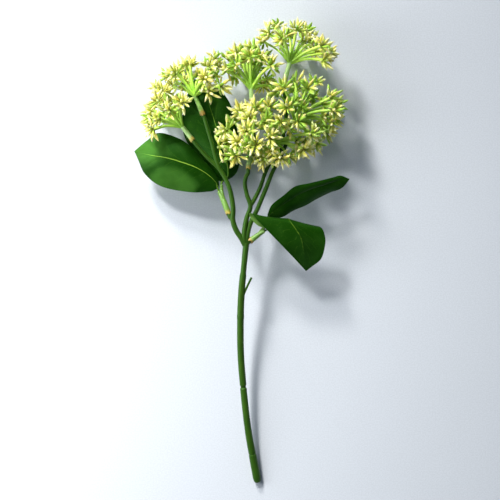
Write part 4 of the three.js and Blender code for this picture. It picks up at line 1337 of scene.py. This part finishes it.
def sky(strength):
    """Even soft light that is weaker from straight above: strength (1 - 0.85 z) for a direction with height
    z."""
    world = bpy.data.worlds.new("soft_sky")
    world.use_nodes = True
    tree = world.node_tree
    towards = Field(new_node(tree, "ShaderNodeTexCoord").outputs["Generated"])
    height = towards.node("ShaderNodeSeparateXYZ", {0: towards}, out=2)
    fill(tree.nodes["Background"], {0: SKY_COLOUR, 1: (height * -0.85 + 1) * strength})
    return world


def add_pieces(forms, ending, material, slot, skin_of):
    """Makes a piece for each form of a table from its skin."""
    for i, form in enumerate(forms):
        skin_of(form, i).piece(form["name"] + ending, material, slot, form["name"])


class SprayOperator:
    """What the operators share: they can be undone, show in the panel and make something in the scene."""

    bl_options = {"REGISTER", "UNDO"}

    def execute(self, context):
        self.make(context.scene)
        return {"FINISHED"}


class SKIMMIA_OT_stem(SprayOperator, bpy.types.Operator):
    """Makes the stem with its branches, pegs and side stub"""

    bl_idname = "skimmia.stem"
    bl_label = "Stem"

    def make(self, scene):
        stem_skin().piece("stem", stem_material(scene.skimmia_stem), "stem", "main_stem")


class SKIMMIA_OT_leaf_sleeves(SprayOperator, bpy.types.Operator):
    """Makes the two forked sleeves that hold the leaf stalks"""

    bl_idname = "skimmia.leaf_sleeves"
    bl_label = "Leaf sleeves"

    def make(self, scene):
        material = sleeve_material(scene.skimmia_sleeve)
        add_pieces(LEAF_SLEEVES, "_tube", material, "sleeve", leaf_sleeve_skin)


class SKIMMIA_OT_leaves(SprayOperator, bpy.types.Operator):
    """Makes the four leaves with their stalks"""

    bl_idname = "skimmia.leaves"
    bl_label = "Leaves"

    def make(self, scene):
        settings = scene.skimmia_leaf
        add_pieces(LEAVES, "_blade", leaf_material(settings), "leaf",
                   lambda form, i: leaf_skin(form, settings, i))


class SKIMMIA_OT_head_sleeves(SprayOperator, bpy.types.Operator):
    """Makes the sleeve of each head, with its torn collar"""

    bl_idname = "skimmia.head_sleeves"
    bl_label = "Head sleeves"

    def make(self, scene):
        settings = scene.skimmia_sleeve
        material = bpy.data.materials.get("sleeve_green") or sleeve_material(settings)
        radii = [r / MM for r in (settings.collar_radius, settings.sleeve_radius, settings.hub_radius)]
        add_pieces(HEADS, "_sleeve", material, "sleeve", lambda form, i: head_sleeve_skin(form, radii, i))


class SKIMMIA_OT_rays(SprayOperator, bpy.types.Operator):
    """Makes the rays of each head, from its hub to its stars of buds"""

    bl_idname = "skimmia.rays"
    bl_label = "Rays"

    def make(self, scene):
        settings = scene.skimmia_sleeve
        add_pieces(HEADS, "_rays", ray_material(settings), "bud",
                   lambda form, i: ray_skin(form, i + 1, settings))


class SKIMMIA_OT_buds(SprayOperator, bpy.types.Operator):
    """Makes the stars of buds of each head"""

    bl_idname = "skimmia.buds"
    bl_label = "Buds"

    def make(self, scene):
        settings = scene.skimmia_bud
        along = np.linspace(0, 1, LEAF_ROWS + 1)
        across = np.linspace(-1, 1, LEAF_COLUMNS + 1)
        nets = [leaf_net(form, along, across) for form in LEAVES]
        add_pieces(HEADS, "_buds", bud_material(settings), "bud",
                   lambda form, i: bud_head_skin(form, i + 1, nets, settings))


class SKIMMIA_OT_stage(SprayOperator, bpy.types.Operator):
    """Makes the pale floor, the soft lights and the camera that looks straight down"""

    bl_idname = "skimmia.stage"
    bl_label = "Stage"

    def make(self, scene):
        settings = scene.skimmia_stage
        half = settings.floor_size / 2
        mesh = bpy.data.meshes.new("floor")
        corners = [(-half, -half, 0), (half, -half, 0), (half, half, 0), (-half, half, 0)]
        mesh.from_pydata(corners, [], [(0, 1, 2, 3)])
        mesh.materials.append(floor_material(settings))
        linked("floor", mesh)
        for name, spot, target, size, setting, share, colour, spread in LIGHTS:
            area_light(name, spot, target, size, share * getattr(settings, setting), colour, spread)
        scene.world = sky(settings.sky_strength)
        scene.view_settings.view_transform = "Standard"
        data = bpy.data.cameras.new("camera")
        data.lens = settings.lens
        data.sensor_width = 36
        camera = linked("camera", data)
        camera.location = (-ORIGIN_X * MM, -ORIGIN_Y * MM, EYE_HEIGHT * MM)
        scene.camera = camera


class SKIMMIA_PT_panel(bpy.types.Panel):
    """Lists the operators of the spray"""

    bl_label = "Skimmia Spray"
    bl_idname = "SKIMMIA_PT_panel"
    bl_space_type = "VIEW_3D"
    bl_region_type = "UI"
    bl_category = "Skimmia"

    def draw(self, context):
        for operator in OPERATORS:
            self.layout.operator(operator.bl_idname)


OPERATORS = (
    SKIMMIA_OT_stem, SKIMMIA_OT_leaf_sleeves, SKIMMIA_OT_leaves, SKIMMIA_OT_head_sleeves,
    SKIMMIA_OT_rays, SKIMMIA_OT_buds, SKIMMIA_OT_stage,
)
SETTINGS = {
    "skimmia_stem": StemSettings,
    "skimmia_sleeve": SleeveSettings,
    "skimmia_leaf": LeafSettings,
    "skimmia_bud": BudSettings,
    "skimmia_stage": StageSettings,
}


def register():
    for name, settings in SETTINGS.items():
        bpy.utils.register_class(settings)
        setattr(bpy.types.Scene, name, bpy.props.PointerProperty(type=settings))
    for operator in (*OPERATORS, SKIMMIA_PT_panel):
        bpy.utils.register_class(operator)


def unregister():
    for operator in (SKIMMIA_PT_panel, *reversed(OPERATORS)):
        bpy.utils.unregister_class(operator)
    for name, settings in SETTINGS.items():
        delattr(bpy.types.Scene, name)
        bpy.utils.unregister_class(settings)


def main():
    """Makes the spray and its stage."""
    register()
    bpy.ops.skimmia.stem()
    bpy.ops.skimmia.leaf_sleeves()
    bpy.ops.skimmia.leaves()
    bpy.ops.skimmia.head_sleeves()
    bpy.ops.skimmia.rays()
    bpy.ops.skimmia.buds()
    bpy.ops.skimmia.stage()


if __name__ == "__main__":
    main()
